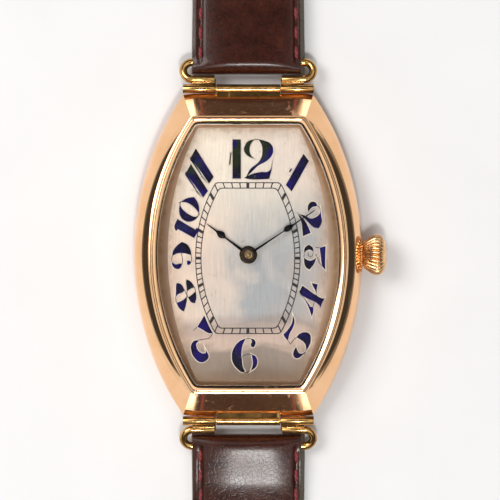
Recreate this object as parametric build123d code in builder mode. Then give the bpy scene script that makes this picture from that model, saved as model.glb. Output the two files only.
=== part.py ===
"""Tonneau wristwatch: barrel-shaped gold case, hinged wire strap loops and a leather strap."""
import os
from math import atan2, cos, degrees, hypot, radians, sin, sqrt

from build123d import *

os.makedirs("parts", exist_ok=True)

# Case outline, built out from the round movement: half sizes of a barrel shape, given as width,
# length and width at the corner, and the width of each wall or slope between two outlines
movement_radius = 11.85
movement_wall = 1.45
opening_inset = 0.6
flank_width = 2.15
corner_flank_width = 1.4
end_plate_length = 3.2
flange_side_width = 2.7
flange_end_width = 1.7
flange_corner_width = 0.9
case_half_length = 22.65
case_corner_half_width = 9.35
ring_half_width = movement_radius + movement_wall + opening_inset
ring_half_length = case_half_length - end_plate_length
ring_corner_half_width = case_corner_half_width - corner_flank_width
case_half_width = ring_half_width + flank_width
dial_half_width = ring_half_width - flange_side_width
dial_half_length = ring_half_length - flange_end_width
dial_corner_half_width = ring_corner_half_width - flange_corner_width

# Heights above the flat rest face of the case back
back_height = 1.2
widest_height = 2.6
hinge_height = 3.3
shoulder_height = 6.2
ring_seat_height = 6.9
stem_height = 3.7

# Walls, fits and cutting overrun
running_clearance = 0.04
seat_clearance = 0.02
free_clearance = 0.15
overrun = 1.0

# Strap
strap_width = 16.0
strap_buckle_width = 14.0
strap_12_length = 72.0
strap_6_length = 105.0
keeper_under_wall = 0.4

# Time shown by the hands, clockwise from 12
hour_hand_angle = 306.9
minute_hand_angle = 56.1


def side_radius(half_width, half_length, corner_half_width):
    """Radius of the side arc through the middle and both corners of a barrel outline."""
    rise = half_width - corner_half_width
    return (half_length**2 + rise**2) / (2 * rise)


def inset(outline, distance):
    """The same barrel outline drawn a distance further in."""
    half_width, half_length = outline[:2]
    radius = side_radius(*outline)
    length = half_length - distance
    return (half_width - distance, length,
            half_width - radius + sqrt((radius - distance) ** 2 - length**2))


def barrel(outline):
    """Barrel-shaped face: two side arcs joined by straight ends."""
    half_width, half_length, corner = outline
    with BuildSketch() as face:
        with BuildLine():
            right = ThreePointArc((corner, -half_length), (half_width, 0), (corner, half_length))
            left = ThreePointArc((-corner, half_length), (-half_width, 0), (-corner, -half_length))
            Line(right @ 1, left @ 0)
            Line(left @ 1, right @ 0)
        make_face()
    return face.sketch


def barrel_prism(outline, bottom, top):
    """Upright barrel-shaped block between two heights."""
    with BuildPart() as prism:
        with BuildSketch(Plane.XY.offset(bottom)):
            add(barrel(outline))
        extrude(amount=top - bottom)
    return prism.part


def barrel_slope(lower, bottom, upper, top):
    """Barrel-shaped block whose walls run straight from one outline to another."""
    with BuildPart() as slope:
        with BuildSketch(Plane.XY.offset(bottom)):
            add(barrel(lower))
        with BuildSketch(Plane.XY.offset(top)):
            add(barrel(upper))
        loft(ruled=True)
    return slope.part


def turned(place, steps):
    """Turned piece on an upright arbor, from its steps of bottom, top and radius."""
    with BuildPart() as piece:
        for bottom, top, radius in steps:
            with BuildSketch(Plane.XY.offset(bottom)):
                with Locations(place):
                    Circle(radius)
            extrude(amount=top - bottom)
    return piece.part


def toothed(place, bottom, top, teeth, tip_radius, tooth_depth, towards=0.0):
    """Toothed disc with pointed teeth, one of them pointing in the direction towards."""
    with BuildPart() as disc:
        with BuildSketch(Plane.XY.offset(bottom)):
            with BuildLine():
                Polyline(*[reach(place, tip_radius - tooth_depth * (i % 2), towards + 180 * i / teeth)
                           for i in range(2 * teeth)], close=True)
            make_face()
        extrude(amount=top - bottom)
    return disc.part


def heading(start, end):
    """Direction from one arbor to another, in degrees from +X."""
    return degrees(atan2(end[1] - start[1], end[0] - start[0]))


def reach(start, distance, direction):
    """Place at a distance from another, in a direction in degrees from +X."""
    return (start[0] + distance * cos(radians(direction)), start[1] + distance * sin(radians(direction)))


def beside(start, direction, along, across):
    """Place reached by going along a direction and then square to it, to the left."""
    return reach(reach(start, along, direction), across, direction + 90)


def save(builder, label):
    """Name a finished piece and write it to its own file."""
    builder.part.label = label
    export_step(builder.part, f"parts/{label}.step")


# Case middle: two turned flanks crossed into a barrel, cut by the sloping end plates
case_outline = (case_half_width, case_half_length, case_corner_half_width)
ring_outline = (ring_half_width, ring_half_length, ring_corner_half_width)
case_side_radius = side_radius(*case_outline)
back_edge_inset = 0.5
shoulder_inset = 0.95
end_foot_height = 2.3
end_foot_inset = 0.3
end_back_inset = 1.2
corner_facet_width = 1.5
corner_facet_top_width = 1.0
corner_facet_start = case_corner_half_width - corner_facet_width
corner_facet_top_start = ring_corner_half_width - corner_facet_top_width
corner_facet_drop = 0.35
knuckle_radius = 0.64
knuckle_gap = 0.06
middle_knuckle_half_length = 4.5
knuckles_half_length = 9.2
hinge_pin_radius = 0.3
web_half_thickness = 0.45
plate_top = ring_half_length + seat_clearance
plate_slope_share = (shoulder_height - hinge_height) / (ring_seat_height - hinge_height)
shoulder_half_length = case_half_length + (plate_top - case_half_length) * plate_slope_share
shoulder_half_width = case_half_width - shoulder_inset
shoulder_corner = (shoulder_half_width - (case_side_radius - shoulder_inset)
                   + sqrt((case_side_radius - shoulder_inset) ** 2 - shoulder_half_length**2))
opening_outline = inset(ring_outline, opening_inset)
hinge_y = case_half_length + knuckle_radius + knuckle_gap
crown_seat_depth = 0.95
crown_seat_x = case_half_width - crown_seat_depth
crown_recess_half_width = 1.75
crown_recess_mouth = 2.8
tube_radius = 1.0

with BuildPart() as case_body:
    for side, join in ((1, Mode.ADD), (-1, Mode.INTERSECT)):
        arc_centre = side * (case_half_width - case_side_radius)
        with BuildSketch(Plane.XZ):
            with BuildLine():
                flank = ThreePointArc(
                    (side * (case_half_width - back_edge_inset), back_height),
                    (side * case_half_width, widest_height),
                    (side * shoulder_half_width, shoulder_height),
                )
                Polyline(flank @ 1, (arc_centre, shoulder_height), (arc_centre, back_height), flank @ 0)
            make_face()
        revolve(axis=Axis((arc_centre, 0, 0), (0, 0, 1)), mode=join)
    with BuildSketch(Plane.YZ):
        with BuildLine():
            Polyline(
                (case_half_length - end_back_inset, back_height),
                (case_half_length - end_foot_inset, end_foot_height),
                (case_half_length, hinge_height),
                (shoulder_half_length, shoulder_height),
                (-shoulder_half_length, shoulder_height),
                (-case_half_length, hinge_height),
                (-case_half_length + end_foot_inset, end_foot_height),
                (-case_half_length + end_back_inset, back_height),
                close=True,
            )
        make_face()
    extrude(amount=case_half_width, both=True, mode=Mode.INTERSECT)
    add(barrel_slope((shoulder_half_width, shoulder_half_length, shoulder_corner), shoulder_height,
                     ring_outline, ring_seat_height))
    # bright facets between the end plates and the flanks
    for x_side in (1, -1):
        for y_side in (1, -1):
            foot = Vector(x_side * corner_facet_start, y_side * case_half_length, hinge_height)
            side_foot = Vector(x_side * case_corner_half_width,
                               y_side * (case_half_length - corner_facet_drop), hinge_height)
            top = Vector(x_side * corner_facet_top_start, y_side * ring_half_length, ring_seat_height)
            normal = (side_foot - foot).cross(top - foot).normalized()
            if normal.dot(Vector(x_side, y_side, 0)) > 0:
                normal = -normal
            split(bisect_by=Plane(origin=foot, z_dir=normal), keep=Keep.TOP)
    # middle hinge knuckles with the web that carries them
    for y_side in (1, -1):
        with BuildSketch(Plane.YZ):
            with Locations((y_side * hinge_y, hinge_height)):
                Circle(knuckle_radius)
            with Locations((y_side * (hinge_y - knuckle_radius), hinge_height)):
                Rectangle(2 * knuckle_radius, 2 * web_half_thickness)
        extrude(amount=middle_knuckle_half_length, both=True)
        with BuildSketch(Plane.YZ):
            with Locations((y_side * hinge_y, hinge_height)):
                Circle(hinge_pin_radius + seat_clearance)
        extrude(amount=knuckles_half_length, both=True, mode=Mode.SUBTRACT)
    add(barrel_prism(opening_outline, back_height, ring_seat_height), mode=Mode.SUBTRACT)
    # seat for the crown's collar and the bore for its tube
    with BuildSketch(Plane.XZ):
        with BuildLine():
            Polyline(
                (crown_seat_x, stem_height),
                (crown_seat_x, stem_height + crown_recess_half_width),
                (case_half_width, stem_height + crown_recess_mouth),
                (case_half_width + overrun, stem_height + crown_recess_mouth),
                (case_half_width + overrun, stem_height),
                close=True,
            )
        make_face()
    revolve(axis=Axis((0, 0, stem_height), (1, 0, 0)), mode=Mode.SUBTRACT)
    with BuildSketch(Plane.YZ):
        with Locations((0, stem_height)):
            Circle(tube_radius + seat_clearance)
    extrude(amount=case_half_width + overrun, mode=Mode.SUBTRACT)
save(case_body, "case_body")

# Case back: a shallow barrel-shaped dish that presses onto the case middle
back_rest_inset = 2.6
back_rest_outline = inset(case_outline, back_rest_inset)
back_rim_outline = (case_half_width - back_edge_inset, case_half_length - end_back_inset,
                    inset(case_outline, end_back_inset)[2] + (end_back_inset - back_edge_inset))
back_floor = 0.45
back_lip_height = 0.6
back_lip_wall = 0.5
with BuildPart() as case_back:
    add(barrel_slope(back_rest_outline, 0, back_rim_outline, back_height))
    add(barrel_prism(inset(opening_outline, seat_clearance), back_height, back_height + back_lip_height))
    add(barrel_prism(inset(opening_outline, seat_clearance + back_lip_wall), back_floor,
                     back_height + back_lip_height + overrun), mode=Mode.SUBTRACT)
save(case_back, "case_back")

# Bezel: a stepped ring on the case middle with a skirt that presses into its opening
bezel_width = 1.15
bezel_step = 0.25
bezel_step_height = 0.65
bezel_height = 1.1
bezel_edge = 0.1
skirt_depth = 0.75
glass_outline = inset(ring_outline, bezel_width)
skirt_outline = inset(opening_outline, seat_clearance)
with BuildPart() as bezel:
    add(barrel_prism(ring_outline, ring_seat_height, ring_seat_height + bezel_step_height))
    add(barrel_prism(inset(ring_outline, bezel_step), ring_seat_height + bezel_step_height,
                     ring_seat_height + bezel_height))
    chamfer(bezel.faces().sort_by(Axis.Z)[-1].edges(), bezel_edge)
    add(barrel_prism(skirt_outline, ring_seat_height - skirt_depth, ring_seat_height))
    add(barrel_prism(glass_outline, ring_seat_height - skirt_depth - overrun,
                     ring_seat_height + bezel_height + overrun), mode=Mode.SUBTRACT)
save(bezel, "bezel")

# Dial flange: the sloped wall under the glass, which presses the dial down
dial_top = 6.0
flange_height = 1.1
flange_top = dial_top + flange_height
flange_lip = 0.12
dial_outline = (dial_half_width, dial_half_length, dial_corner_half_width)
flange_outer = inset(glass_outline, seat_clearance)
with BuildPart() as dial_flange:
    add(barrel_prism(flange_outer, dial_top, flange_top))
    add(barrel_slope(dial_outline, dial_top, inset(flange_outer, flange_lip), flange_top),
        mode=Mode.SUBTRACT)
save(dial_flange, "dial_flange")

# Crystal: a barrel-shaped glass, crowned across its width
glass_crown_radius = 100.0
glass_top = 8.75
glass_edge = 0.25
with BuildPart() as crystal:
    add(barrel_prism(flange_outer, flange_top, glass_top))
    with BuildSketch(Plane.XZ):
        with Locations((0, glass_top - glass_crown_radius)):
            Circle(glass_crown_radius)
    extrude(amount=case_half_length, both=True, mode=Mode.INTERSECT)
    chamfer(crystal.faces().sort_by(Axis.Z)[-1].edges(), glass_edge)
save(crystal, "crystal")

# Dial plate with two feet that go into the main plate
dial_thickness = 0.4
dial_edge_clearance = 0.06
dial_hole_radius = 1.25
dial_foot_radius = 0.4
dial_foot_setback = 1.25
dial_foot_circle = movement_radius - dial_foot_setback
dial_foot_length = 1.0
dial_foot_angle = 80.0
dial_bottom = dial_top - dial_thickness
dial_feet = [reach((0, 0), dial_foot_circle, a) for a in (dial_foot_angle, dial_foot_angle + 180)]
with BuildPart() as dial:
    add(barrel_prism(inset(opening_outline, dial_edge_clearance), dial_bottom, dial_top))
    with BuildSketch(Plane.XY.offset(dial_bottom)):
        Circle(dial_hole_radius)
    extrude(amount=dial_thickness, mode=Mode.SUBTRACT)
    for foot in dial_feet:
        add(turned(foot, [(dial_bottom - dial_foot_length, dial_bottom, dial_foot_radius)]))
save(dial, "dial")

# Movement places: every arbor of the movement, seen from the dial
plate_bottom = 4.2
plate_top_face = 5.5
centre = (0.0, 0.0)
tooth_depth = 0.26
mesh_depth = 0.22
barrel_radius = 4.7
centre_pinion_radius = 0.85
centre_wheel_radius = 4.2
third_pinion_radius = 0.75
third_wheel_radius = 3.6
fourth_pinion_radius = 0.65
fourth_wheel_radius = 3.3
escape_pinion_radius = 0.6
escape_wheel_radius = 2.1
balance_radius = 4.0
barrel_direction = 65.0
third_direction = 180.0
fourth_direction = -60.0
escape_direction = -100.0
balance_distance = 7.4
balance_direction = 6.6
fork_share = 0.4
barrel_place = reach(centre, barrel_radius + centre_pinion_radius - mesh_depth, barrel_direction)
third_place = reach(centre, centre_wheel_radius + third_pinion_radius - mesh_depth, third_direction)
fourth_place = reach(third_place, third_wheel_radius + fourth_pinion_radius - mesh_depth, fourth_direction)
escape_place = reach(fourth_place, fourth_wheel_radius + escape_pinion_radius - mesh_depth, escape_direction)
balance_place = reach(escape_place, balance_distance, balance_direction)
fork_place = reach(escape_place, balance_distance * fork_share, balance_direction)
cannon_radius = 0.95
minute_wheel_radius = 2.3
minute_direction = -25.0
setting_wheel_radius = 0.9
setting_direction = 8.0
minute_place = reach(centre, cannon_radius + minute_wheel_radius - mesh_depth, minute_direction)
setting_distance = minute_wheel_radius + setting_wheel_radius - mesh_depth
setting_place = reach(minute_place, setting_distance, setting_direction)
ratchet_radius = 3.6
crown_wheel_radius = 2.6
crown_wheel_distance = ratchet_radius + crown_wheel_radius - mesh_depth
crown_wheel_place = (barrel_place[0] + sqrt(crown_wheel_distance**2 - barrel_place[1] ** 2), 0.0)
pivot_radius = 0.12
pivot_depth = 0.35

# Stem line: the places of the pinions along it, measured from the hands' axis
stem_radius = 0.55
stem_inner_end = 4.7
crown_pull = 0.9
sliding_shift_share = 0.8
sliding_pinion_start = 6.25
winding_pinion_start = 7.55
winding_pinion_end = 8.75
winding_pinion_radius = 1.5
sliding_pinion_radius = 1.25
groove_centre_x = 9.5

# Movement ring: fills the space between the round movement and the barrel-shaped opening
ring_bottom = 2.0
ring_clearance = 0.04
stem_way_radius = 0.9
with BuildPart() as movement_ring:
    add(barrel_prism(inset(opening_outline, ring_clearance), ring_bottom, dial_bottom))
    with BuildSketch(Plane.XY.offset(ring_bottom)):
        Circle(movement_radius + seat_clearance)
    extrude(amount=dial_bottom - ring_bottom, mode=Mode.SUBTRACT)
    with BuildSketch(Plane.YZ):
        with Locations((0, stem_height)):
            Circle(stem_way_radius)
    extrude(amount=case_half_width, mode=Mode.SUBTRACT)
save(movement_ring, "movement_ring")

# Main plate: carries the train under it, and the motion and keyless work on its dial side
motion_recess_radius = 5.6
motion_recess_depth = 0.75
keyless_pocket_start = sliding_pinion_start - sliding_shift_share * crown_pull - free_clearance
keyless_pocket_half_width = winding_pinion_radius + free_clearance
keyless_recess_depth = 0.5
keyless_recess_low = -6.4
keyless_recess_setback = 0.85
keyless_recess_end = movement_radius - keyless_recess_setback
centre_bore_radius = 0.62
rim_screw_angles = (190.0, -35.0)
stem_slot_half_width = stem_radius + free_clearance
stem_slot_start = stem_inner_end - free_clearance
minute_stud_radius = 0.25
with BuildPart() as main_plate:
    with BuildSketch(Plane.XY.offset(plate_bottom)):
        Circle(movement_radius)
    extrude(amount=plate_top_face - plate_bottom)
    with BuildSketch(Plane.XY.offset(plate_top_face)):
        Circle(motion_recess_radius)
        with Locations(setting_place):
            Circle(setting_wheel_radius + free_clearance)
    extrude(amount=-motion_recess_depth, mode=Mode.SUBTRACT)
    with BuildSketch(Plane.XY.offset(plate_top_face)):
        with Locations(((keyless_pocket_start + keyless_recess_end) / 2, keyless_recess_low / 2)):
            Rectangle(keyless_recess_end - keyless_pocket_start, -keyless_recess_low)
    extrude(amount=-keyless_recess_depth, mode=Mode.SUBTRACT)
    with BuildSketch(Plane.XY.offset(plate_bottom)):
        with Locations(((keyless_pocket_start + keyless_recess_end) / 2, 0)):
            Rectangle(keyless_recess_end - keyless_pocket_start, 2 * keyless_pocket_half_width)
        with Locations(((stem_slot_start + movement_radius) / 2, 0)):
            Rectangle(movement_radius - stem_slot_start, 2 * stem_slot_half_width)
    extrude(amount=plate_top_face - plate_bottom, mode=Mode.SUBTRACT)
    with BuildSketch(Plane.XY.offset(plate_bottom)):
        with Locations(centre):
            Circle(centre_bore_radius)
        with Locations(*dial_feet):
            Circle(dial_foot_radius + seat_clearance)
    extrude(amount=plate_top_face - plate_bottom, mode=Mode.SUBTRACT)
    with BuildSketch(Plane.XY.offset(plate_bottom)):
        with Locations(third_place, fourth_place, escape_place, fork_place, balance_place):
            Circle(pivot_radius + running_clearance)
    extrude(amount=pivot_depth + running_clearance, mode=Mode.SUBTRACT)
    add(turned(minute_place, [(plate_bottom, plate_top_face, minute_stud_radius)]))
save(main_plate, "main_plate")

# Bridges: a slab under the wheels with a foot at the movement's rim
bridge_bottom = 2.2
bridge_top = 2.85
bridge_rim_setback = 0.15
bridge_foot_width = 1.35
bridge_rim_radius = movement_radius - bridge_rim_setback
foot_inner_radius = bridge_rim_radius - bridge_foot_width
bridge_gap = 0.15
keyless_clear = 1.9


def bridge(outline_points, arbors, hole_radius, bottom=bridge_bottom, top=bridge_top):
    """Bridge cut from the movement's round outline, with its foot and the bores for its arbors."""
    with BuildPart() as piece:
        with BuildSketch(Plane.XY.offset(bottom)):
            Circle(bridge_rim_radius)
            with BuildLine():
                Polyline(*outline_points, close=True)
            make_face(mode=Mode.INTERSECT)
        extrude(amount=top - bottom)
        with BuildSketch(Plane.XY.offset(top)):
            Circle(bridge_rim_radius)
            Circle(foot_inner_radius, mode=Mode.SUBTRACT)
            with BuildLine():
                Polyline(*outline_points, close=True)
            make_face(mode=Mode.INTERSECT)
        extrude(amount=plate_bottom - top)
        with BuildSketch(Plane.XY.offset(bottom)):
            with Locations(*arbors):
                Circle(hole_radius)
        extrude(amount=top - bottom, mode=Mode.SUBTRACT)
    return piece.part


split_direction = 128.0
train_end_direction = -108.0
far = 2 * movement_radius
bridge_pivot_bore = pivot_radius + running_clearance
barrel_arbor_radius = 0.6
barrel_bridge_points = [
    (movement_radius, keyless_clear),
    (movement_radius, far),
    reach((0, keyless_clear), far, split_direction),
    (0, keyless_clear),
]
crown_shelf_start = 3.0
crown_shelf_end = 6.15
crown_shelf_half_width = 1.4
crown_shelf_thickness = 0.2
with BuildPart() as barrel_bridge:
    add(bridge(barrel_bridge_points, [barrel_place], barrel_arbor_radius + running_clearance))
    # thin shelf over the stem's end, which carries the crown wheel
    with BuildSketch(Plane.XY.offset(bridge_bottom)):
        with Locations(((crown_shelf_start + crown_shelf_end) / 2,
                        (keyless_clear - crown_shelf_half_width) / 2)):
            Rectangle(crown_shelf_end - crown_shelf_start, keyless_clear + crown_shelf_half_width)
    extrude(amount=crown_shelf_thickness)
save(barrel_bridge, "barrel_bridge")

centre_boss_half = 1.4
train_corner = (-bridge_gap, keyless_clear - bridge_gap)
train_foot_corner = (-0.9, -3.6)
train_bridge_points = [
    (centre_boss_half, -centre_boss_half),
    (centre_boss_half, keyless_clear - bridge_gap),
    train_corner,
    reach(train_corner, far, split_direction),
    (-far, 0),
    reach(train_foot_corner, far, train_end_direction),
    train_foot_corner,
]
with BuildPart() as train_bridge:
    add(bridge(train_bridge_points, [centre, third_place, fourth_place, escape_place], bridge_pivot_bore))
save(train_bridge, "train_bridge")

# Balance cock: reaches in from the rim over the balance, nearer the case back
cock_bottom = 1.3
cock_top = 1.9
cock_half_width = 1.5
cock_foot_length = 1.25
cock_heading = heading(centre, balance_place)
cock_boss_radius = 1.7
cock_foot_centre = reach(centre, bridge_rim_radius - cock_foot_length / 2, cock_heading)
with BuildPart() as balance_cock:
    with BuildSketch(Plane.XY.offset(cock_bottom)):
        with Locations(balance_place):
            Circle(cock_boss_radius)
        with Locations(Location((*balance_place, 0), cock_heading)):
            with Locations((movement_radius / 2, 0)):
                Rectangle(movement_radius, 2 * cock_half_width)
        Circle(bridge_rim_radius, mode=Mode.INTERSECT)
    extrude(amount=cock_top - cock_bottom)
    with BuildSketch(Plane.XY.offset(cock_top)):
        with Locations(Location((*cock_foot_centre, 0), cock_heading)):
            Rectangle(2 * cock_foot_length, 2 * cock_half_width)
        Circle(bridge_rim_radius, mode=Mode.INTERSECT)
        with Locations(balance_place):
            Circle(balance_radius + free_clearance, mode=Mode.SUBTRACT)
    extrude(amount=plate_bottom - cock_top)
    with BuildSketch(Plane.XY.offset(cock_bottom)):
        with Locations(balance_place):
            Circle(bridge_pivot_bore)
    extrude(amount=cock_top - cock_bottom, mode=Mode.SUBTRACT)
save(balance_cock, "balance_cock")

# Pallet cock: a small bar under the pallet fork
fork_bottom = 3.7
fork_top = 3.9
pallet_cock_bottom = 3.2
pallet_cock_top = 3.55
pallet_cock_width = 1.0
pallet_cock_reach = 2.3
pallet_cock_direction = -100.0
pallet_cock_end = reach(fork_place, pallet_cock_reach, pallet_cock_direction)
with BuildPart() as pallet_cock:
    with BuildSketch(Plane.XY.offset(pallet_cock_bottom)):
        with Locations(fork_place, pallet_cock_end):
            Circle(pallet_cock_width / 2)
        with Locations(Location((*fork_place, 0), pallet_cock_direction)):
            with Locations((pallet_cock_reach / 2, 0)):
                Rectangle(pallet_cock_reach, pallet_cock_width)
    extrude(amount=pallet_cock_top - pallet_cock_bottom)
    add(turned(pallet_cock_end, [(pallet_cock_top, plate_bottom, pallet_cock_width / 2)]))
    with BuildSketch(Plane.XY.offset(pallet_cock_bottom)):
        with Locations(fork_place):
            Circle(bridge_pivot_bore)
    extrude(amount=pallet_cock_top - pallet_cock_bottom, mode=Mode.SUBTRACT)
save(pallet_cock, "pallet_cock")

# Going train: each wheel with its pinion and arbor in one piece
wheel_thickness = 0.15
arbor_radius = 0.25
barrel_teeth = 72
centre_teeth = 64
centre_pinion_teeth = 12
third_teeth = 60
third_pinion_teeth = 8
fourth_teeth = 70
fourth_pinion_teeth = 8
escape_teeth = 15
escape_pinion_teeth = 7
barrel_bottom = 3.2
barrel_top = 4.1
centre_wheel_bottom = 2.95
third_wheel_bottom = 3.6
fourth_wheel_bottom = 3.25
escape_wheel_bottom = 3.75
wheel_rim_width = 0.55
spoke_width = 0.4
pinion_overlap = 0.08
centre_spokes = 5
train_spokes = 4


def train_wheel(place, bottom, wheel, pinion, pinion_span, arbor_span, spokes, drives, driven_by):
    """Crossed-out wheel with its pinion and pivoted arbor: wheel and pinion are (teeth, radius)."""
    wheel_teeth, wheel_radius = wheel
    pinion_teeth, pinion_radius = pinion
    window_outer = wheel_radius - tooth_depth - wheel_rim_width
    with BuildPart() as piece:
        add(toothed(place, bottom, bottom + wheel_thickness, wheel_teeth, wheel_radius, tooth_depth,
                    heading(place, drives)))
        with BuildSketch(Plane.XY.offset(bottom)):
            with Locations(place):
                Circle(window_outer)
                Circle(pinion_radius, mode=Mode.SUBTRACT)
                with PolarLocations(window_outer / 2, spokes):
                    Rectangle(window_outer, spoke_width, mode=Mode.SUBTRACT)
        extrude(amount=wheel_thickness, mode=Mode.SUBTRACT)
        add(toothed(place, *pinion_span, pinion_teeth, pinion_radius, tooth_depth,
                    heading(place, driven_by) + 180 / pinion_teeth))
        add(turned(place, [(*arbor_span, arbor_radius),
                           (arbor_span[0] - pivot_depth, arbor_span[0], pivot_radius),
                           (arbor_span[1], arbor_span[1] + pivot_depth, pivot_radius)]))
    return piece.part


train_arbor = (bridge_top + running_clearance, plate_bottom - running_clearance)
cannon_arbor_radius = 0.5
cannon_arbor_top = 6.2
with BuildPart() as centre_wheel:
    add(train_wheel(centre, centre_wheel_bottom, (centre_teeth, centre_wheel_radius),
                    (centre_pinion_teeth, centre_pinion_radius),
                    (centre_wheel_bottom + wheel_thickness, barrel_top), train_arbor, centre_spokes,
                    third_place, barrel_place))
    add(turned(centre, [(barrel_top, cannon_arbor_top, cannon_arbor_radius)]))
save(centre_wheel, "centre_wheel")

third_pinion_bottom = centre_wheel_bottom - pinion_overlap + running_clearance
with BuildPart() as third_wheel:
    add(train_wheel(third_place, third_wheel_bottom, (third_teeth, third_wheel_radius),
                    (third_pinion_teeth, third_pinion_radius), (third_pinion_bottom, third_wheel_bottom),
                    train_arbor, train_spokes, fourth_place, centre))
save(third_wheel, "third_wheel")

fourth_pinion_top = third_wheel_bottom + wheel_thickness + pinion_overlap
with BuildPart() as fourth_wheel:
    add(train_wheel(fourth_place, fourth_wheel_bottom, (fourth_teeth, fourth_wheel_radius),
                    (fourth_pinion_teeth, fourth_pinion_radius),
                    (fourth_wheel_bottom + wheel_thickness, fourth_pinion_top),
                    train_arbor, train_spokes, escape_place, third_place))
save(fourth_wheel, "fourth_wheel")

# Escape wheel: slanted club teeth
escape_root_share = 0.74
escape_root_radius = escape_wheel_radius * escape_root_share
escape_lean = 9.0
escape_club = 4.5
escape_window_radius = 0.4
with BuildPart() as escape_wheel:
    with BuildSketch(Plane.XY.offset(escape_wheel_bottom)):
        with BuildLine():
            escape_points = []
            for i in range(escape_teeth):
                turn = i * 360 / escape_teeth
                for radius, lean in ((escape_root_radius, 0), (escape_wheel_radius, escape_lean),
                                     (escape_wheel_radius, escape_lean + escape_club)):
                    escape_points.append(reach(escape_place, radius, turn + lean))
            Polyline(*escape_points, close=True)
        make_face()
        with Locations(escape_place):
            with PolarLocations((escape_root_radius + arbor_radius) / 2, train_spokes):
                Circle(escape_window_radius, mode=Mode.SUBTRACT)
    extrude(amount=wheel_thickness)
    add(toothed(escape_place, fourth_wheel_bottom - pinion_overlap,
                fourth_wheel_bottom + 2 * wheel_thickness, escape_pinion_teeth, escape_pinion_radius,
                tooth_depth, heading(escape_place, fourth_place) + 180 / escape_pinion_teeth))
    add(turned(escape_place, [(*train_arbor, arbor_radius),
                              (train_arbor[0] - pivot_depth, train_arbor[0], pivot_radius),
                              (train_arbor[1], train_arbor[1] + pivot_depth, pivot_radius)]))
save(escape_wheel, "escape_wheel")

# Pallet fork: two arms with their stones, a lever and its fork
fork_arm_reach = 1.62
fork_arm_angle = 37.0
fork_arm_width = 0.4
fork_end_distance = 0.95
fork_lever_reach = balance_distance * (1 - fork_share) - fork_end_distance
stone_length = 0.42
stone_width = 0.22
fork_slot_width = 0.34
fork_end_width = 1.1
fork_end_length = 0.7
fork_heading = balance_direction
with BuildPart() as pallet_fork:
    with BuildSketch(Plane.XY.offset(fork_bottom)):
        with Locations(Location((*fork_place, 0), fork_heading)):
            with Locations((fork_lever_reach / 2, 0)):
                Rectangle(fork_lever_reach, fork_arm_width)
            with Locations((fork_lever_reach, 0)):
                Rectangle(fork_end_length, fork_end_width)
            with Locations((fork_lever_reach + fork_end_length / 2, 0)):
                Rectangle(fork_end_length, fork_slot_width, mode=Mode.SUBTRACT)
            Circle(fork_arm_width)
        for arm_side in (1, -1):
            arm_heading = fork_heading + 180 + arm_side * (90 - fork_arm_angle)
            with Locations(Location((*fork_place, 0), arm_heading)):
                with Locations((fork_arm_reach / 2, 0)):
                    Rectangle(fork_arm_reach, fork_arm_width)
            arm_end = reach(fork_place, fork_arm_reach, arm_heading)
            with Locations(Location((*arm_end, 0), heading(arm_end, escape_place))):
                Rectangle(stone_length, stone_width)
    extrude(amount=fork_top - fork_bottom)
    fork_arbor = (pallet_cock_top + running_clearance, plate_bottom - running_clearance)
    add(turned(fork_place, [(*fork_arbor, arbor_radius),
                            (pallet_cock_top - pivot_depth / 2, fork_arbor[0], pivot_radius),
                            (fork_arbor[1], plate_bottom + pivot_depth, pivot_radius)]))
save(pallet_fork, "pallet_fork")

# Balance wheel: rim, two arms, timing screws, staff and roller with its impulse pin
balance_bottom = 2.55
balance_top = 2.8
balance_rim_width = 0.45
balance_arm_width = 0.5
timing_screw_count = 12
timing_screw_radius = 0.11
timing_screw_reach = 0.12
impulse_pin_radius = 0.1
impulse_pin_reach = 0.62
roller_radius = impulse_pin_reach + 2 * impulse_pin_radius
with BuildPart() as balance_wheel:
    with BuildSketch(Plane.XY.offset(balance_bottom)):
        with Locations(balance_place):
            Circle(balance_radius - timing_screw_reach)
            Circle(balance_radius - timing_screw_reach - balance_rim_width, mode=Mode.SUBTRACT)
            Rectangle(2 * (balance_radius - balance_rim_width), balance_arm_width)
            Circle(3 * arbor_radius)
            with PolarLocations(balance_radius - timing_screw_reach, timing_screw_count):
                Rectangle(2 * timing_screw_reach, 2 * timing_screw_radius)
    extrude(amount=balance_top - balance_bottom)
    staff = (cock_top + running_clearance, plate_bottom - running_clearance)
    roller_top = fork_bottom - pinion_overlap
    add(turned(balance_place, [(*staff, arbor_radius),
                               (roller_top - wheel_thickness, roller_top, roller_radius),
                               (cock_top - pivot_depth, staff[0], pivot_radius),
                               (staff[1], plate_bottom + pivot_depth, pivot_radius)]))
    impulse_place = reach(balance_place, impulse_pin_reach, balance_direction + 180)
    add(turned(impulse_place, [(roller_top - wheel_thickness, fork_top, impulse_pin_radius)]))
save(balance_wheel, "balance_wheel")


def spiral_face(place, inner_radius, outer_radius, turns, width, steps_per_turn, start=0.0):
    """Flat spiral strip of even width, as a closed outline of straight steps."""
    steps = int(turns * steps_per_turn)
    outer, inner = [], []
    for i in range(steps + 1):
        angle = start + 360 * turns * i / steps
        radius = inner_radius + (outer_radius - inner_radius) * i / steps
        outer.append(reach(place, radius + width / 2, angle))
        inner.append(reach(place, radius - width / 2, angle))
    with BuildSketch() as strip:
        with BuildLine():
            Polyline(*outer, *reversed(inner), close=True)
        make_face()
    return strip.sketch


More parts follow.
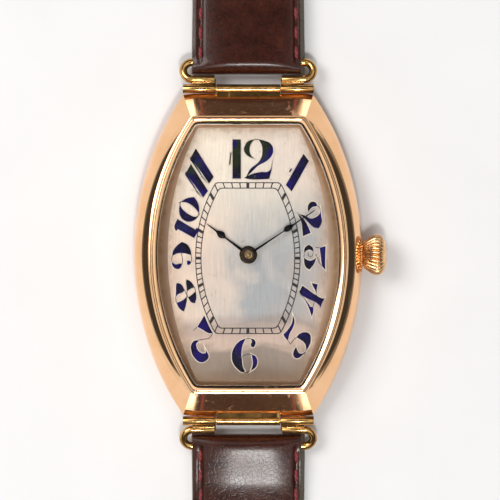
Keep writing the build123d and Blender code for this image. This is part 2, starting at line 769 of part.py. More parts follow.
# Hairspring: a flat spiral from the collet on the staff to its stud in the cock
hairspring_turns = 7
hairspring_outer_radius = 2.1
hairspring_width = 0.09
hairspring_bottom = 2.1
hairspring_top = 2.3
collet_radius = 0.45
spiral_steps = 16
stud_radius = 0.16
with BuildPart() as hairspring:
    with BuildSketch(Plane.XY.offset(hairspring_bottom)):
        add(spiral_face(balance_place, collet_radius, hairspring_outer_radius, hairspring_turns,
                        hairspring_width, spiral_steps))
        with Locations(balance_place):
            Circle(collet_radius)
            Circle(arbor_radius + seat_clearance, mode=Mode.SUBTRACT)
    extrude(amount=hairspring_top - hairspring_bottom)
    stud_place = reach(balance_place, hairspring_outer_radius, 0)
    add(turned(stud_place, [(hairspring_bottom, hairspring_top, stud_radius)]))
save(hairspring, "hairspring")

# Regulator: a lever on the cock with two curb pins
regulator_reach = 2.6
regulator_width = 0.4
regulator_thickness = 0.2
regulator_direction = cock_heading + 180
with BuildPart() as regulator:
    with BuildSketch(Plane.XY.offset(cock_bottom - regulator_thickness)):
        with Locations(Location((*balance_place, 0), regulator_direction)):
            with Locations((regulator_reach / 2, 0)):
                Rectangle(regulator_reach, regulator_width)
        with Locations(balance_place):
            Circle(2 * regulator_width)
            Circle(regulator_width, mode=Mode.SUBTRACT)
    extrude(amount=regulator_thickness)
save(regulator, "regulator")

# Mainspring barrel: toothed drum, cover, arbor and coiled spring
drum_wall = 0.35
drum_floor = 0.2
cover_thickness = 0.15
drum_tooth_band = 0.4
drum_root_radius = barrel_radius - tooth_depth
arbor_core_radius = 1.3
with BuildPart() as mainspring_barrel:
    add(toothed(barrel_place, barrel_top - drum_tooth_band, barrel_top, barrel_teeth, barrel_radius,
                tooth_depth, heading(barrel_place, centre)))
    add(turned(barrel_place, [(barrel_bottom, barrel_top, drum_root_radius)]))
    add(turned(barrel_place, [(barrel_bottom, barrel_top - drum_floor, drum_root_radius - drum_wall)]),
        mode=Mode.SUBTRACT)
    add(turned(barrel_place, [(barrel_bottom, barrel_top, barrel_arbor_radius + running_clearance)]),
        mode=Mode.SUBTRACT)
save(mainspring_barrel, "mainspring_barrel")

with BuildPart() as barrel_cover:
    add(turned(barrel_place, [(barrel_bottom, barrel_bottom + cover_thickness,
                               drum_root_radius - drum_wall - seat_clearance)]))
    add(turned(barrel_place, [(barrel_bottom, barrel_bottom + cover_thickness,
                               barrel_arbor_radius + running_clearance)]), mode=Mode.SUBTRACT)
save(barrel_cover, "barrel_cover")

spring_bottom = barrel_bottom + cover_thickness + running_clearance
spring_top = barrel_top - drum_floor - running_clearance
ratchet_bottom = 1.85
ratchet_top = 2.15
with BuildPart() as barrel_arbor:
    add(turned(barrel_place, [(ratchet_bottom, plate_bottom - running_clearance, barrel_arbor_radius),
                              (spring_bottom, spring_top, arbor_core_radius)]))
save(barrel_arbor, "barrel_arbor")

mainspring_turns = 6
mainspring_width = 0.16
mainspring_inner_radius = arbor_core_radius + mainspring_width
mainspring_outer_radius = drum_root_radius - drum_wall - mainspring_width
with BuildPart() as mainspring:
    with BuildSketch(Plane.XY.offset(spring_bottom)):
        add(spiral_face(barrel_place, mainspring_inner_radius, mainspring_outer_radius, mainspring_turns,
                        mainspring_width, 2 * spiral_steps))
    extrude(amount=spring_top - spring_bottom)
save(mainspring, "mainspring")

# Winding work on the barrel bridge: ratchet wheel, crown wheel, click and its spring
ratchet_teeth = 42
crown_wheel_teeth = 30
cap_screw_radius = 0.9
cap_screw_height = 0.3
square_half = barrel_arbor_radius + seat_clearance
with BuildPart() as ratchet_wheel:
    add(toothed(barrel_place, ratchet_bottom, ratchet_top, ratchet_teeth, ratchet_radius, tooth_depth,
                heading(barrel_place, crown_wheel_place)))
    add(turned(barrel_place, [(ratchet_bottom, ratchet_top, square_half)]), mode=Mode.SUBTRACT)
save(ratchet_wheel, "ratchet_wheel")

crown_core_radius = 0.8
with BuildPart() as crown_wheel:
    add(toothed(crown_wheel_place, ratchet_bottom, ratchet_top, crown_wheel_teeth, crown_wheel_radius,
                tooth_depth, heading(crown_wheel_place, barrel_place) + 180 / crown_wheel_teeth))
    add(turned(crown_wheel_place, [(ratchet_bottom, ratchet_top, crown_core_radius + running_clearance)]),
        mode=Mode.SUBTRACT)
save(crown_wheel, "crown_wheel")

click_direction = 128.0
click_length = 1.9
click_width = 0.6
click_distance = 1.05
click_place = reach(barrel_place, ratchet_radius + click_distance, click_direction)
with BuildPart() as click:
    with BuildSketch(Plane.XY.offset(ratchet_bottom)):
        with Locations(click_place):
            Circle(click_width)
        with BuildLine():
            Polyline(*[beside(click_place, click_direction - 90, along, across) for along, across in (
                (0, click_width), (click_length, -click_width / 2), (click_length, -click_width),
                (0, -click_width))], close=True)
        make_face()
        with Locations(barrel_place):
            Circle(ratchet_radius + running_clearance, mode=Mode.SUBTRACT)
    extrude(amount=ratchet_top - ratchet_bottom)
save(click, "click")

click_spring_width = 0.16
click_spring_distance = 1.9
click_spring_radius = ratchet_radius + click_spring_distance
click_spring_start = click_direction - 58
click_spring_arc = 42.0
with BuildPart() as click_spring:
    with BuildSketch(Plane.XY.offset(ratchet_bottom)):
        with BuildLine(mode=Mode.PRIVATE) as spring_line:
            CenterArc(barrel_place, click_spring_radius, click_spring_start, click_spring_arc)
        SlotArc(spring_line.edge(), click_spring_width)
    extrude(amount=ratchet_top - ratchet_bottom)
save(click_spring, "click_spring")

# Screws: bridge screws, the two cap screws of the winding work, and the movement's rim screws
screw_head_radius = 0.55
screw_head_height = 0.25
slot_width = 0.14
bridge_screw_angles = (35.0, 100.0, 150.0, 225.0)
bridge_screw_circle = (bridge_rim_radius + foot_inner_radius) / 2
with BuildPart() as bridge_screws:
    for angle in bridge_screw_angles:
        place = reach((0, 0), bridge_screw_circle, angle)
        add(turned(place, [(bridge_bottom - screw_head_height, bridge_bottom, screw_head_radius)]))
        with BuildSketch(Plane.XY.offset(bridge_bottom - screw_head_height)):
            with Locations(place):
                Rectangle(2 * screw_head_radius, slot_width)
        extrude(amount=screw_head_height / 2, mode=Mode.SUBTRACT)
    for place in (crown_wheel_place, click_place):
        add(turned(place, [(ratchet_bottom - cap_screw_height, ratchet_bottom, click_width)]))
    add(turned(crown_wheel_place, [(ratchet_bottom, bridge_bottom, crown_core_radius)]))
    add(turned(barrel_place, [(ratchet_bottom - cap_screw_height, ratchet_bottom, cap_screw_radius)]))
save(bridge_screws, "bridge_screws")

with BuildPart() as movement_screws:
    for angle in rim_screw_angles:
        place = reach((0, 0), movement_radius, angle)
        add(turned(place, [(ring_bottom - screw_head_height, ring_bottom, 2 * screw_head_radius)]))
        with BuildSketch(Plane.XY.offset(ring_bottom - screw_head_height)):
            with Locations(place):
                Rectangle(4 * screw_head_radius, slot_width)
        extrude(amount=screw_head_height / 2, mode=Mode.SUBTRACT)
save(movement_screws, "movement_screws")

# Jewels: ruby bearings let into the bridges
jewel_radius = 0.5
jewel_height = 0.2
with BuildPart() as jewels:
    for place in (third_place, fourth_place, escape_place):
        add(turned(place, [(bridge_bottom - jewel_height, bridge_bottom, jewel_radius)]))
    add(turned(balance_place, [(cock_bottom - regulator_thickness, cock_bottom,
                                regulator_width - seat_clearance)]))
save(jewels, "jewels")

# Motion work under the dial: cannon pinion, minute wheel with its pinion, hour wheel
motion_floor = plate_top_face - motion_recess_depth
motion_floor_gap = 0.08
motion_wheel_gap = 0.05
cannon_teeth = 10
minute_teeth = 30
minute_pinion_teeth = 8
minute_pinion_radius = 0.8
hour_teeth = 32
motion_wheel_height = 0.2
minute_wheel_bottom = motion_floor + motion_floor_gap
hour_wheel_bottom = minute_wheel_bottom + motion_wheel_height + motion_wheel_gap
hour_wheel_radius = cannon_radius + minute_wheel_radius - minute_pinion_radius
hour_pipe_bore = 0.78
hour_pipe_radius = 1.05
hour_pipe_top = 6.62
cannon_pipe_radius = 0.72
cannon_top = 7.02
with BuildPart() as cannon_pinion:
    add(toothed(centre, minute_wheel_bottom, minute_wheel_bottom + motion_wheel_height, cannon_teeth,
                cannon_radius, tooth_depth, minute_direction))
    add(turned(centre, [(minute_wheel_bottom, cannon_top, cannon_pipe_radius)]))
    add(turned(centre, [(minute_wheel_bottom, cannon_arbor_top + running_clearance,
                         cannon_arbor_radius + running_clearance)]), mode=Mode.SUBTRACT)
save(cannon_pinion, "cannon_pinion")

with BuildPart() as minute_wheel:
    add(toothed(minute_place, minute_wheel_bottom, minute_wheel_bottom + motion_wheel_height, minute_teeth,
                minute_wheel_radius, tooth_depth, minute_direction + 180 + 180 / minute_teeth))
    add(toothed(minute_place, minute_wheel_bottom + motion_wheel_height,
                hour_wheel_bottom + motion_wheel_height, minute_pinion_teeth, minute_pinion_radius,
                tooth_depth, minute_direction + 180))
    add(turned(minute_place, [(minute_wheel_bottom, hour_wheel_bottom + motion_wheel_height,
                               minute_stud_radius + running_clearance)]), mode=Mode.SUBTRACT)
save(minute_wheel, "minute_wheel")

with BuildPart() as hour_wheel:
    add(toothed(centre, hour_wheel_bottom, hour_wheel_bottom + motion_wheel_height, hour_teeth,
                hour_wheel_radius, tooth_depth, minute_direction + 180 / hour_teeth))
    add(turned(centre, [(hour_wheel_bottom, hour_pipe_top, hour_pipe_radius)]))
    add(turned(centre, [(hour_wheel_bottom, hour_pipe_top, hour_pipe_bore)]), mode=Mode.SUBTRACT)
save(hour_wheel, "hour_wheel")

# Setting wheel: an idle wheel between the minute wheel and the sliding pinion
setting_teeth = 12
with BuildPart() as setting_wheel:
    add(toothed(setting_place, minute_wheel_bottom + running_clearance,
                minute_wheel_bottom + motion_wheel_height, setting_teeth, setting_wheel_radius, tooth_depth,
                setting_direction))
save(setting_wheel, "setting_wheel")

# Hands: pear-shaped, each with its hub ring
hand_thickness = 0.16
hour_hand_length = 7.25
minute_hand_length = 11.3
hour_hub_radius = 1.35
minute_hub_radius = 1.1
hour_pear = (0.657, 1.9, 0.95)
minute_pear = (0.6, 2.6, 0.85)
hour_shank = (0.42, 0.3)
minute_shank = (0.38, 0.26)


def hand(length, angle, pear, shank, hub_radius, bore, bottom):
    """Pear hand pointing clockwise from 12: pear is (share, length, width), shank is (root, neck)."""
    pear_share, pear_length, pear_width = pear
    root_width, neck_width = shank
    with BuildPart() as piece:
        with BuildSketch(Plane.XY.offset(bottom)):
            with BuildLine():
                Polyline(*[beside((0, 0), 90 - angle, along, across) for along, across in (
                    (0, -root_width / 2), (length * pear_share, -neck_width / 2),
                    (length, -neck_width / 4), (length, neck_width / 4),
                    (length * pear_share, neck_width / 2), (0, root_width / 2))], close=True)
            make_face()
            with Locations(Location((0, 0, 0), 90 - angle)):
                with Locations((length * pear_share, 0)):
                    Ellipse(pear_length / 2, pear_width / 2)
            Circle(hub_radius)
            Circle(bore, mode=Mode.SUBTRACT)
        extrude(amount=hand_thickness)
    return piece.part


hour_hand_bottom = hour_pipe_top - hand_thickness
minute_hand_bottom = cannon_top - hand_thickness
with BuildPart() as hour_hand:
    add(hand(hour_hand_length, hour_hand_angle, hour_pear, hour_shank, hour_hub_radius,
             hour_pipe_radius + seat_clearance, hour_hand_bottom))
save(hour_hand, "hour_hand")

with BuildPart() as minute_hand:
    add(hand(minute_hand_length, minute_hand_angle, minute_pear, minute_shank, minute_hub_radius,
             cannon_pipe_radius + seat_clearance, minute_hand_bottom))
save(minute_hand, "minute_hand")

# Keyless work: tube, stem, winding pinion, sliding pinion, setting lever and yoke
tube_depth = 2.6
tube_projection = 0.35
tube_bore = stem_radius + running_clearance
tube_inner_end = case_half_width - tube_depth
tube_outer_end = crown_seat_x + tube_projection
groove_half_width = 0.32
groove_radius = 0.32
winding_teeth = 16
sliding_groove_radius = 0.9
pinion_gap = 0.06
pinion_bore = stem_radius + running_clearance


def stem_turned(steps):
    """Turned piece on the stem's line, from its steps of start, end and radius."""
    with BuildPart() as piece:
        for start, end, radius in steps:
            with BuildSketch(Plane.YZ.offset(start)):
                with Locations((0, stem_height)):
                    Circle(radius)
            extrude(amount=end - start)
    return piece.part


def stem_toothed(start, end, teeth, tip_radius, root_radius):
    """Toothed disc on the stem's line."""
    with BuildPart() as piece:
        with BuildSketch(Plane.YZ.offset(start)):
            with BuildLine():
                Polyline(*[reach((0, stem_height), (tip_radius, root_radius)[i % 2], 180 * i / teeth)
                           for i in range(2 * teeth)], close=True)
            make_face()
        extrude(amount=end - start)
    return piece.part


with BuildPart() as crown_tube:
    add(stem_turned([(tube_inner_end, tube_outer_end, tube_radius)]))
    add(stem_turned([(tube_inner_end, tube_outer_end, tube_bore)]), mode=Mode.SUBTRACT)
save(crown_tube, "crown_tube")

crown_bore_depth = 3.4
crown_bore_end = crown_seat_x + crown_bore_depth
groove_start = groove_centre_x - groove_half_width
groove_end = groove_centre_x + groove_half_width
with BuildPart() as winding_stem:
    add(stem_turned([(stem_inner_end, groove_start, stem_radius), (groove_start, groove_end, groove_radius),
                     (groove_end, crown_bore_end, stem_radius)]))
save(winding_stem, "winding_stem")

with BuildPart() as winding_pinion:
    add(stem_toothed(winding_pinion_start, winding_pinion_end, winding_teeth, winding_pinion_radius,
                     winding_pinion_radius - tooth_depth))
    add(stem_turned([(winding_pinion_start, winding_pinion_end, pinion_bore)]), mode=Mode.SUBTRACT)
save(winding_pinion, "winding_pinion")

inner_teeth_length = 0.45
outer_teeth_length = 0.35
sliding_pinion_end = winding_pinion_start - pinion_gap
sliding_groove_start = sliding_pinion_start + inner_teeth_length
sliding_groove_end = sliding_pinion_end - outer_teeth_length
with BuildPart() as sliding_pinion:
    add(stem_toothed(sliding_pinion_start, sliding_groove_start, winding_teeth, sliding_pinion_radius,
                     sliding_pinion_radius - tooth_depth))
    add(stem_turned([(sliding_groove_start, sliding_groove_end, sliding_groove_radius)]))
    add(stem_toothed(sliding_groove_end, sliding_pinion_end, winding_teeth, sliding_pinion_radius,
                     sliding_pinion_radius - tooth_depth))
    add(stem_turned([(sliding_pinion_start, sliding_pinion_end, pinion_bore)]), mode=Mode.SUBTRACT)
save(sliding_pinion, "sliding_pinion")

lever_bottom = plate_top_face - keyless_recess_depth + running_clearance
lever_top = plate_top_face - running_clearance
lever_pivot = (9.3, -4.0)
lever_pin_place = (groove_centre_x, 0.0)
lever_pin_radius = 0.2
lever_width = 0.8
lever_reach = hypot(lever_pin_place[0] - lever_pivot[0], lever_pin_place[1] - lever_pivot[1])
with BuildPart() as setting_lever:
    with BuildSketch(Plane.XY.offset(lever_bottom)):
        with Locations(lever_pivot):
            Circle(lever_width)
        with Locations(lever_pin_place):
            Circle(lever_width / 2)
        with Locations(Location((*lever_pivot, 0), heading(lever_pivot, lever_pin_place))):
            with Locations((lever_reach / 2, 0)):
                Rectangle(lever_reach, lever_width)
    extrude(amount=lever_top - lever_bottom)
    add(turned(lever_pin_place, [(stem_height + groove_radius + running_clearance, lever_bottom,
                                  lever_pin_radius)]))
save(setting_lever, "setting_lever")

yoke_pivot = (7.1, -5.4)
yoke_pin_place = ((sliding_groove_start + sliding_groove_end) / 2, 0.0)
yoke_width = 0.6
yoke_reach = hypot(yoke_pin_place[0] - yoke_pivot[0], yoke_pin_place[1] - yoke_pivot[1])
yoke_pin_radius = 0.1
yoke_pin_bottom = stem_height + sliding_groove_radius + running_clearance
with BuildPart() as yoke:
    with BuildSketch(Plane.XY.offset(lever_bottom)):
        with Locations(yoke_pivot):
            Circle(yoke_width)
        with Locations(Location((*yoke_pivot, 0), heading(yoke_pivot, yoke_pin_place))):
            with Locations((yoke_reach / 2, 0)):
                Rectangle(yoke_reach, yoke_width / 2)
        with Locations(yoke_pin_place):
            Circle(yoke_width / 3)
    extrude(amount=lever_top - lever_bottom)
    add(turned(yoke_pin_place, [(yoke_pin_bottom, lever_bottom, yoke_pin_radius)]))
save(yoke, "yoke")

# Crown: a fluted collar and a fluted onion, on the stem
crown_flutes = 26
flute_depth_share = 0.07
crown_section_shares = ((0.0, 0.62), (0.1, 0.72), (0.3, 0.9), (0.52, 1.0), (0.72, 0.985), (0.88, 0.8),
                        (1.0, 0.4))
crown_radius = 2.9
crown_gap = 0.1
crown_start = case_half_width + crown_gap
crown_length = 3.3
collar_gap = 0.12
crown_neck_length = 0.2
collar_start = crown_seat_x + collar_gap
collar_end = crown_start - crown_neck_length
collar_root_radius = 1.5
collar_rim_radius = 2.55
crown_groove_radius = 1.5


def fluted_section(distance, radius):
    """Fluted round section on the stem's line, as a closed face."""
    with BuildSketch(Plane.YZ.offset(distance)) as section:
        with BuildLine():
            radii = (radius, radius * (1 - flute_depth_share))
            Polyline(*[reach((0, stem_height), radii[i % 2], 180 * i / crown_flutes)
                       for i in range(2 * crown_flutes)], close=True)
        make_face()
    return section.sketch


with BuildPart() as crown:
    loft([fluted_section(crown_start + crown_length * along, crown_radius * size)
          for along, size in crown_section_shares], ruled=True)
    loft([fluted_section(collar_start, collar_root_radius), fluted_section(collar_end, collar_rim_radius)],
         ruled=True)
    add(stem_turned([(collar_start, crown_start + overrun, crown_groove_radius)]))
    add(stem_turned([(collar_start, crown_bore_end, stem_radius + seat_clearance)]), mode=Mode.SUBTRACT)
    add(stem_turned([(collar_start, tube_outer_end + running_clearance, tube_radius + free_clearance)]),
        mode=Mode.SUBTRACT)
save(crown, "crown")

# Strap loops: bent wire with two hinge knuckles, hanging down to the bar that carries the strap.
# The 12 o'clock piece lies on its keepers' under walls, the 6 o'clock piece on the surface itself.
wire_radius = 0.56
bar_distance = 3.95
foot_distance = 1.4
eye_radius = 1.75
loop_centre_half_width = 9.15
foot_inner_end = 4.75
bend_radius = (bar_distance - foot_distance) / 2
knuckle_inner_end = middle_knuckle_half_length + knuckle_gap
bend_start = loop_centre_half_width - bend_radius
strap_rests = {1: keeper_under_wall, -1: 0.0}


def loop_bar(y_side):
    """Distance of a loop's bar along Y from the middle, and its height."""
    height = strap_rests[y_side] + eye_radius
    return hinge_y + sqrt(bar_distance**2 - (hinge_height - height) ** 2), height


def strap_loop(y_side):
    """One wire loop: a bar, two round bends and two feet on the outer hinge knuckles."""
    bar_y, bar_height = loop_bar(y_side)
    along = Vector(0, y_side * (bar_y - hinge_y), bar_height - hinge_height).normalized()
    hinge = Vector(0, y_side * hinge_y, hinge_height)

    def point(across, distance):
        return hinge + Vector(across, 0, 0) + along * distance

    with BuildPart() as piece:
        with BuildLine() as wire:
            foot = Line(point(foot_inner_end, foot_distance), point(bend_start, foot_distance))
            bend = ThreePointArc(foot @ 1, point(loop_centre_half_width, foot_distance + bend_radius),
                                 point(bend_start, bar_distance))
            Line(bend @ 1, point(0, bar_distance))
        with BuildSketch(Plane(origin=foot @ 0, z_dir=foot % 0)):
            Circle(wire_radius)
        sweep(path=wire.wires()[0])
        # knuckle, and the seat that joins the foot to it
        knuckle_plane = Plane(origin=point(knuckle_inner_end, 0), x_dir=along, z_dir=(1, 0, 0))
        with BuildSketch(knuckle_plane):
            Circle(knuckle_radius)
            with Locations((foot_distance / 2, 0)):
                Rectangle(foot_distance, wire_radius)
        extrude(amount=bend_start - knuckle_inner_end)
        with BuildSketch(knuckle_plane):
            Circle(knuckle_radius)
        extrude(amount=knuckles_half_length - knuckle_inner_end)
        with BuildSketch(knuckle_plane):
            Circle(hinge_pin_radius + running_clearance)
        extrude(amount=knuckles_half_length - knuckle_inner_end, mode=Mode.SUBTRACT)
        mirror(about=Plane.YZ)
    return piece.part


for y_side, name in ((1, "12"), (-1, "6")):
    with BuildPart() as loop:
        add(strap_loop(y_side))
    save(loop, f"strap_loop_{name}")
    with BuildPart() as hinge_pin:
        with BuildSketch(Plane.YZ):
            with Locations((y_side * hinge_y, hinge_height)):
                Circle(hinge_pin_radius)
        extrude(amount=knuckles_half_length, both=True)
    save(hinge_pin, f"hinge_pin_{name}")

# Strap pieces: padded leather folded round the loop's bar, and the lining under it
eye_bore = wire_radius + running_clearance
lining_thickness = 0.7
strap_fold_thickness = 3.3
strap_pad_thickness = 2.9
strap_end_thickness = 2.3
pad_length = 24.0
fold_length = 5.0
lining_gap = 0.25
tip_length = 11.0
hole_radius = 0.8
hole_count = 7
hole_pitch = 6.0
first_hole_from_tip = 24.0
buckle_eye_radius = 1.3
tongue_slot_width = 2.0
tongue_slot_length = 3.2
buckle_pin_radius = 0.5
buckle_pin_height = strap_rests[1] + buckle_eye_radius
strap_12_end = loop_bar(1)[0] + strap_12_length


def strap_side(length, end_eye):
    """Side outline of the leather: an eye round the bar, the padded run and its end."""
    with BuildSketch() as side:
        with BuildLine():
            Polyline((0, eye_radius * 2), (fold_length, strap_fold_thickness),
                     (pad_length, strap_pad_thickness), (length, strap_end_thickness),
                     (length, lining_thickness), (0, lining_thickness), close=True)
        make_face()
        with Locations((0, eye_radius)):
            Circle(eye_radius)
        if end_eye:
            with Locations((length, buckle_eye_radius)):
                Circle(buckle_eye_radius)
                Circle(buckle_pin_radius + running_clearance, mode=Mode.SUBTRACT)
        with Locations((0, eye_radius)):
            Circle(eye_bore, mode=Mode.SUBTRACT)
    return side.sketch


def strap_plan(length, pointed):
    """Strap seen from above, tapering to the buckle width, square or with a rounded point."""
    half, end_half = strap_width / 2, strap_buckle_width / 2
    straight = length - tip_length if pointed else length + buckle_eye_radius
    with BuildSketch() as plan:
        with BuildLine():
            Line((-half, -eye_radius), (half, -eye_radius))
            Line((half, -eye_radius), (end_half, straight))
            if pointed:
                Spline((end_half, straight), (0, length), tangents=((0, 1), (-1, 0)))
                Spline((0, length), (-end_half, straight), tangents=((-1, 0), (0, -1)))
            else:
                Line((end_half, straight), (-end_half, straight))
            Line((-end_half, straight), (-half, -eye_radius))
        make_face()
    return plan.sketch


def strap_frame(y_side):
    """Plane under a strap piece: local Y runs away from the case, from the loop's bar."""
    return Plane(origin=(0, y_side * loop_bar(y_side)[0], strap_rests[y_side]), x_dir=(y_side, 0, 0),
                 z_dir=(0, 0, 1))


def strap_holes(length):
    """Places of the buckle holes along the strap's middle line."""
    return [(0, length - first_hole_from_tip - i * hole_pitch) for i in range(hole_count)]


def strap_leather(y_side, length, pointed):
    """Leather of one strap piece."""
    frame = strap_frame(y_side)
    side_plane = Plane(origin=frame.origin, x_dir=frame.y_dir, z_dir=frame.x_dir)
    with BuildPart() as piece:
        with BuildSketch(side_plane):
            add(strap_side(length, not pointed))
        extrude(amount=strap_width / 2, both=True)
        with BuildSketch(frame):
            add(strap_plan(length, pointed))
        extrude(amount=2 * eye_radius, mode=Mode.INTERSECT)
        with BuildSketch(frame):
            if pointed:
                with Locations(*strap_holes(length)):
                    Circle(hole_radius)
            else:
                with Locations((0, length + buckle_eye_radius - tongue_slot_length / 2)):
                    Rectangle(tongue_slot_width, tongue_slot_length)
        extrude(amount=2 * eye_radius, mode=Mode.SUBTRACT)
    return piece.part


def strap_lining(y_side, length, pointed):
    """Lining of one strap piece, from behind the folded eye to the strap's end."""
    frame = strap_frame(y_side)
    start = eye_radius + lining_gap
    stop = length if pointed else length - buckle_eye_radius - lining_gap
    with BuildPart() as piece:
        with BuildSketch(frame):
            add(strap_plan(length, pointed))
            with Locations((0, (start + stop) / 2)):
                Rectangle(strap_width, stop - start, mode=Mode.INTERSECT)
            if pointed:
                with Locations(*strap_holes(length)):
                    Circle(hole_radius, mode=Mode.SUBTRACT)
        extrude(amount=lining_thickness)
    return piece.part


for y_side, name, length, pointed in ((1, "12", strap_12_length, False), (-1, "6", strap_6_length, True)):
    with BuildPart() as leather:
        add(strap_leather(y_side, length, pointed))
    save(leather, f"strap_{name}")
    with BuildPart() as lining:
        add(strap_lining(y_side, length, pointed))
    save(lining, f"strap_{name}_lining")

# Buckle: frame, pin and tongue at the end of the 12 o'clock piece
buckle_inner_half_width = 7.35
buckle_arm_width = 1.5
buckle_outer_half_width = buckle_inner_half_width + buckle_arm_width
buckle_height = 2.6
buckle_inner_length = 6.6
buckle_bar_width = 1.7
buckle_back_length = 1.6
buckle_corner_radius = 0.9
buckle_edge = 0.25
tongue_width = 1.2
tongue_eye_radius = 1.05
tongue_thickness = 0.8
tongue_rest = 0.05
pin_y = strap_12_end
frame_y = pin_y + (buckle_inner_length + buckle_bar_width - buckle_back_length) / 2
frame_length = buckle_inner_length + buckle_bar_width + buckle_back_length
with BuildPart() as buckle_frame:
    with BuildSketch():
        with Locations((0, frame_y)):
            RectangleRounded(2 * buckle_outer_half_width, frame_length, buckle_corner_radius)
        with Locations((0, pin_y + (buckle_inner_length - buckle_back_length) / 2)):
            Rectangle(2 * buckle_inner_half_width, frame_length - buckle_bar_width, mode=Mode.SUBTRACT)
        with Locations((0, pin_y - buckle_back_length)):
            Rectangle(2 * buckle_inner_half_width, 2 * buckle_back_length, mode=Mode.SUBTRACT)
    extrude(amount=buckle_height)
    chamfer(buckle_frame.faces().sort_by(Axis.Z)[-1].edges(), buckle_edge)
    with BuildSketch(Plane.YZ):
        with Locations((pin_y, buckle_pin_height)):
            Circle(buckle_pin_radius + running_clearance)
    extrude(amount=buckle_outer_half_width, both=True, mode=Mode.SUBTRACT)
save(buckle_frame, "buckle_frame")

with BuildPart() as buckle_pin:
    with BuildSketch(Plane.YZ):
        with Locations((pin_y, buckle_pin_height)):
            Circle(buckle_pin_radius)
    extrude(amount=buckle_outer_half_width, both=True)
save(buckle_pin, "buckle_pin")

tongue_end_y = pin_y + buckle_inner_length + buckle_bar_width
tongue_low = buckle_height + tongue_rest
with BuildPart() as buckle_tongue:
    with BuildSketch(Plane.YZ):
        with Locations((pin_y, buckle_pin_height)):
            Circle(tongue_eye_radius)
        with BuildLine():
            Polyline((pin_y, buckle_pin_height + tongue_eye_radius - tongue_thickness),
                     (pin_y + buckle_inner_length - tongue_thickness, tongue_low),
                     (tongue_end_y, tongue_low),
                     (tongue_end_y, tongue_low + tongue_thickness / 2),
                     (pin_y + buckle_inner_length, tongue_low + tongue_thickness),
                     (pin_y, buckle_pin_height + tongue_eye_radius), close=True)
        make_face()
        with Locations((pin_y, buckle_pin_height)):
            Circle(buckle_pin_radius + running_clearance, mode=Mode.SUBTRACT)
    extrude(amount=tongue_width / 2, both=True)
save(buckle_tongue, "buckle_tongue")

# Keepers: the fixed one by the buckle and the one that slides along the strap
keeper_length = 5.0
keeper_wall = 0.8
keeper_clearance = 0.1
fixed_keeper_setback = 10.0
keeper_spacing = 14.0
sliding_keeper_travel = 12.0
fixed_keeper_distance = strap_12_length - fixed_keeper_setback
sliding_keeper_distance = fixed_keeper_distance - keeper_spacing


def strap_half_width_at(distance):
    """Half the width of the 12 o'clock piece at a distance from the loop's bar."""
    taper = (strap_width - strap_buckle_width) / 2
    tapered_length = eye_radius + strap_12_length + buckle_eye_radius
    return strap_width / 2 - taper * (distance + eye_radius) / tapered_length


def keeper(distance, widest_at):
    """Leather band round the strap, wide enough for it at the widest place that the band reaches."""
    inner_half_width = strap_half_width_at(widest_at - keeper_length / 2) + keeper_clearance
    inner_top = keeper_under_wall + strap_pad_thickness
    with BuildPart() as piece:
        with BuildSketch(Plane.XZ.offset(-(loop_bar(1)[0] + distance))):
            with Locations((0, (inner_top + keeper_wall) / 2)):
                RectangleRounded(2 * (inner_half_width + keeper_wall), inner_top + keeper_wall, keeper_wall)
            with Locations((0, (keeper_under_wall + inner_top) / 2)):
                Rectangle(2 * inner_half_width, strap_pad_thickness, mode=Mode.SUBTRACT)
        extrude(amount=keeper_length / 2, both=True)
    return piece.part


with BuildPart() as fixed_keeper:
    add(keeper(fixed_keeper_distance, fixed_keeper_distance))
save(fixed_keeper, "fixed_keeper")

with BuildPart() as sliding_keeper:
    add(keeper(sliding_keeper_distance, sliding_keeper_distance - sliding_keeper_travel))
save(sliding_keeper, "sliding_keeper")
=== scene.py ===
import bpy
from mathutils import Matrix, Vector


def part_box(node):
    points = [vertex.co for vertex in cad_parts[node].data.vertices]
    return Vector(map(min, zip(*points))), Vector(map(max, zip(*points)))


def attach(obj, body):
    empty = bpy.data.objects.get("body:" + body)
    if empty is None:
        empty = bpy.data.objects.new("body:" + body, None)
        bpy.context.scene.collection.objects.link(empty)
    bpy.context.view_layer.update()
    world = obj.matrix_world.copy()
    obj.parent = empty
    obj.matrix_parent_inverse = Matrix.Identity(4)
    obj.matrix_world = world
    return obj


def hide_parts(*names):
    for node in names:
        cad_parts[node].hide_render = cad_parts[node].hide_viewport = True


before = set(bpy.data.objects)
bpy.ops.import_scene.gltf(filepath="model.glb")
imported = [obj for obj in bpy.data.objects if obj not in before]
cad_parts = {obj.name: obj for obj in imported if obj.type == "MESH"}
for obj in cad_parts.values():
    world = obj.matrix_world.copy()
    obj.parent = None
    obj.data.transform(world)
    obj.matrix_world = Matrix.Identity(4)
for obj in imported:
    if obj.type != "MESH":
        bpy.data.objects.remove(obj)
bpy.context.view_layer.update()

import random
from math import atan2, cos, exp, pi, radians, sin, sqrt, tau

import bpy
from mathutils import Matrix, Vector

# Table top, lamps and camera. The watch lies face up on a pale table, seen from straight above.
# A large soft lamp stands beyond 10 o'clock and a small one beyond 6 o'clock. The room is bright
# overhead and low down, with a dark band between, which the polished gold shows along its edges.
MM = 0.001
WARM_WHITE = (1.0, 0.985, 0.96)


def add_node(tree, kind, inputs=None, **settings):
    """A shader node whose inputs are given as numbers or as other nodes' outputs."""
    made = tree.nodes.new("ShaderNode" + kind)
    for name, value in settings.items():
        setattr(made, name, value)
    for socket, value in (inputs or {}).items():
        if isinstance(value, bpy.types.NodeSocket):
            tree.links.new(value, made.inputs[socket])
        else:
            made.inputs[socket].default_value = value
    return made


def object_place(tree):
    """The object's own coordinates."""
    return add_node(tree, "TexCoord").outputs["Object"]


def axes(tree, where):
    """The X, Y and Z of a place."""
    return add_node(tree, "SeparateXYZ", {0: where}).outputs


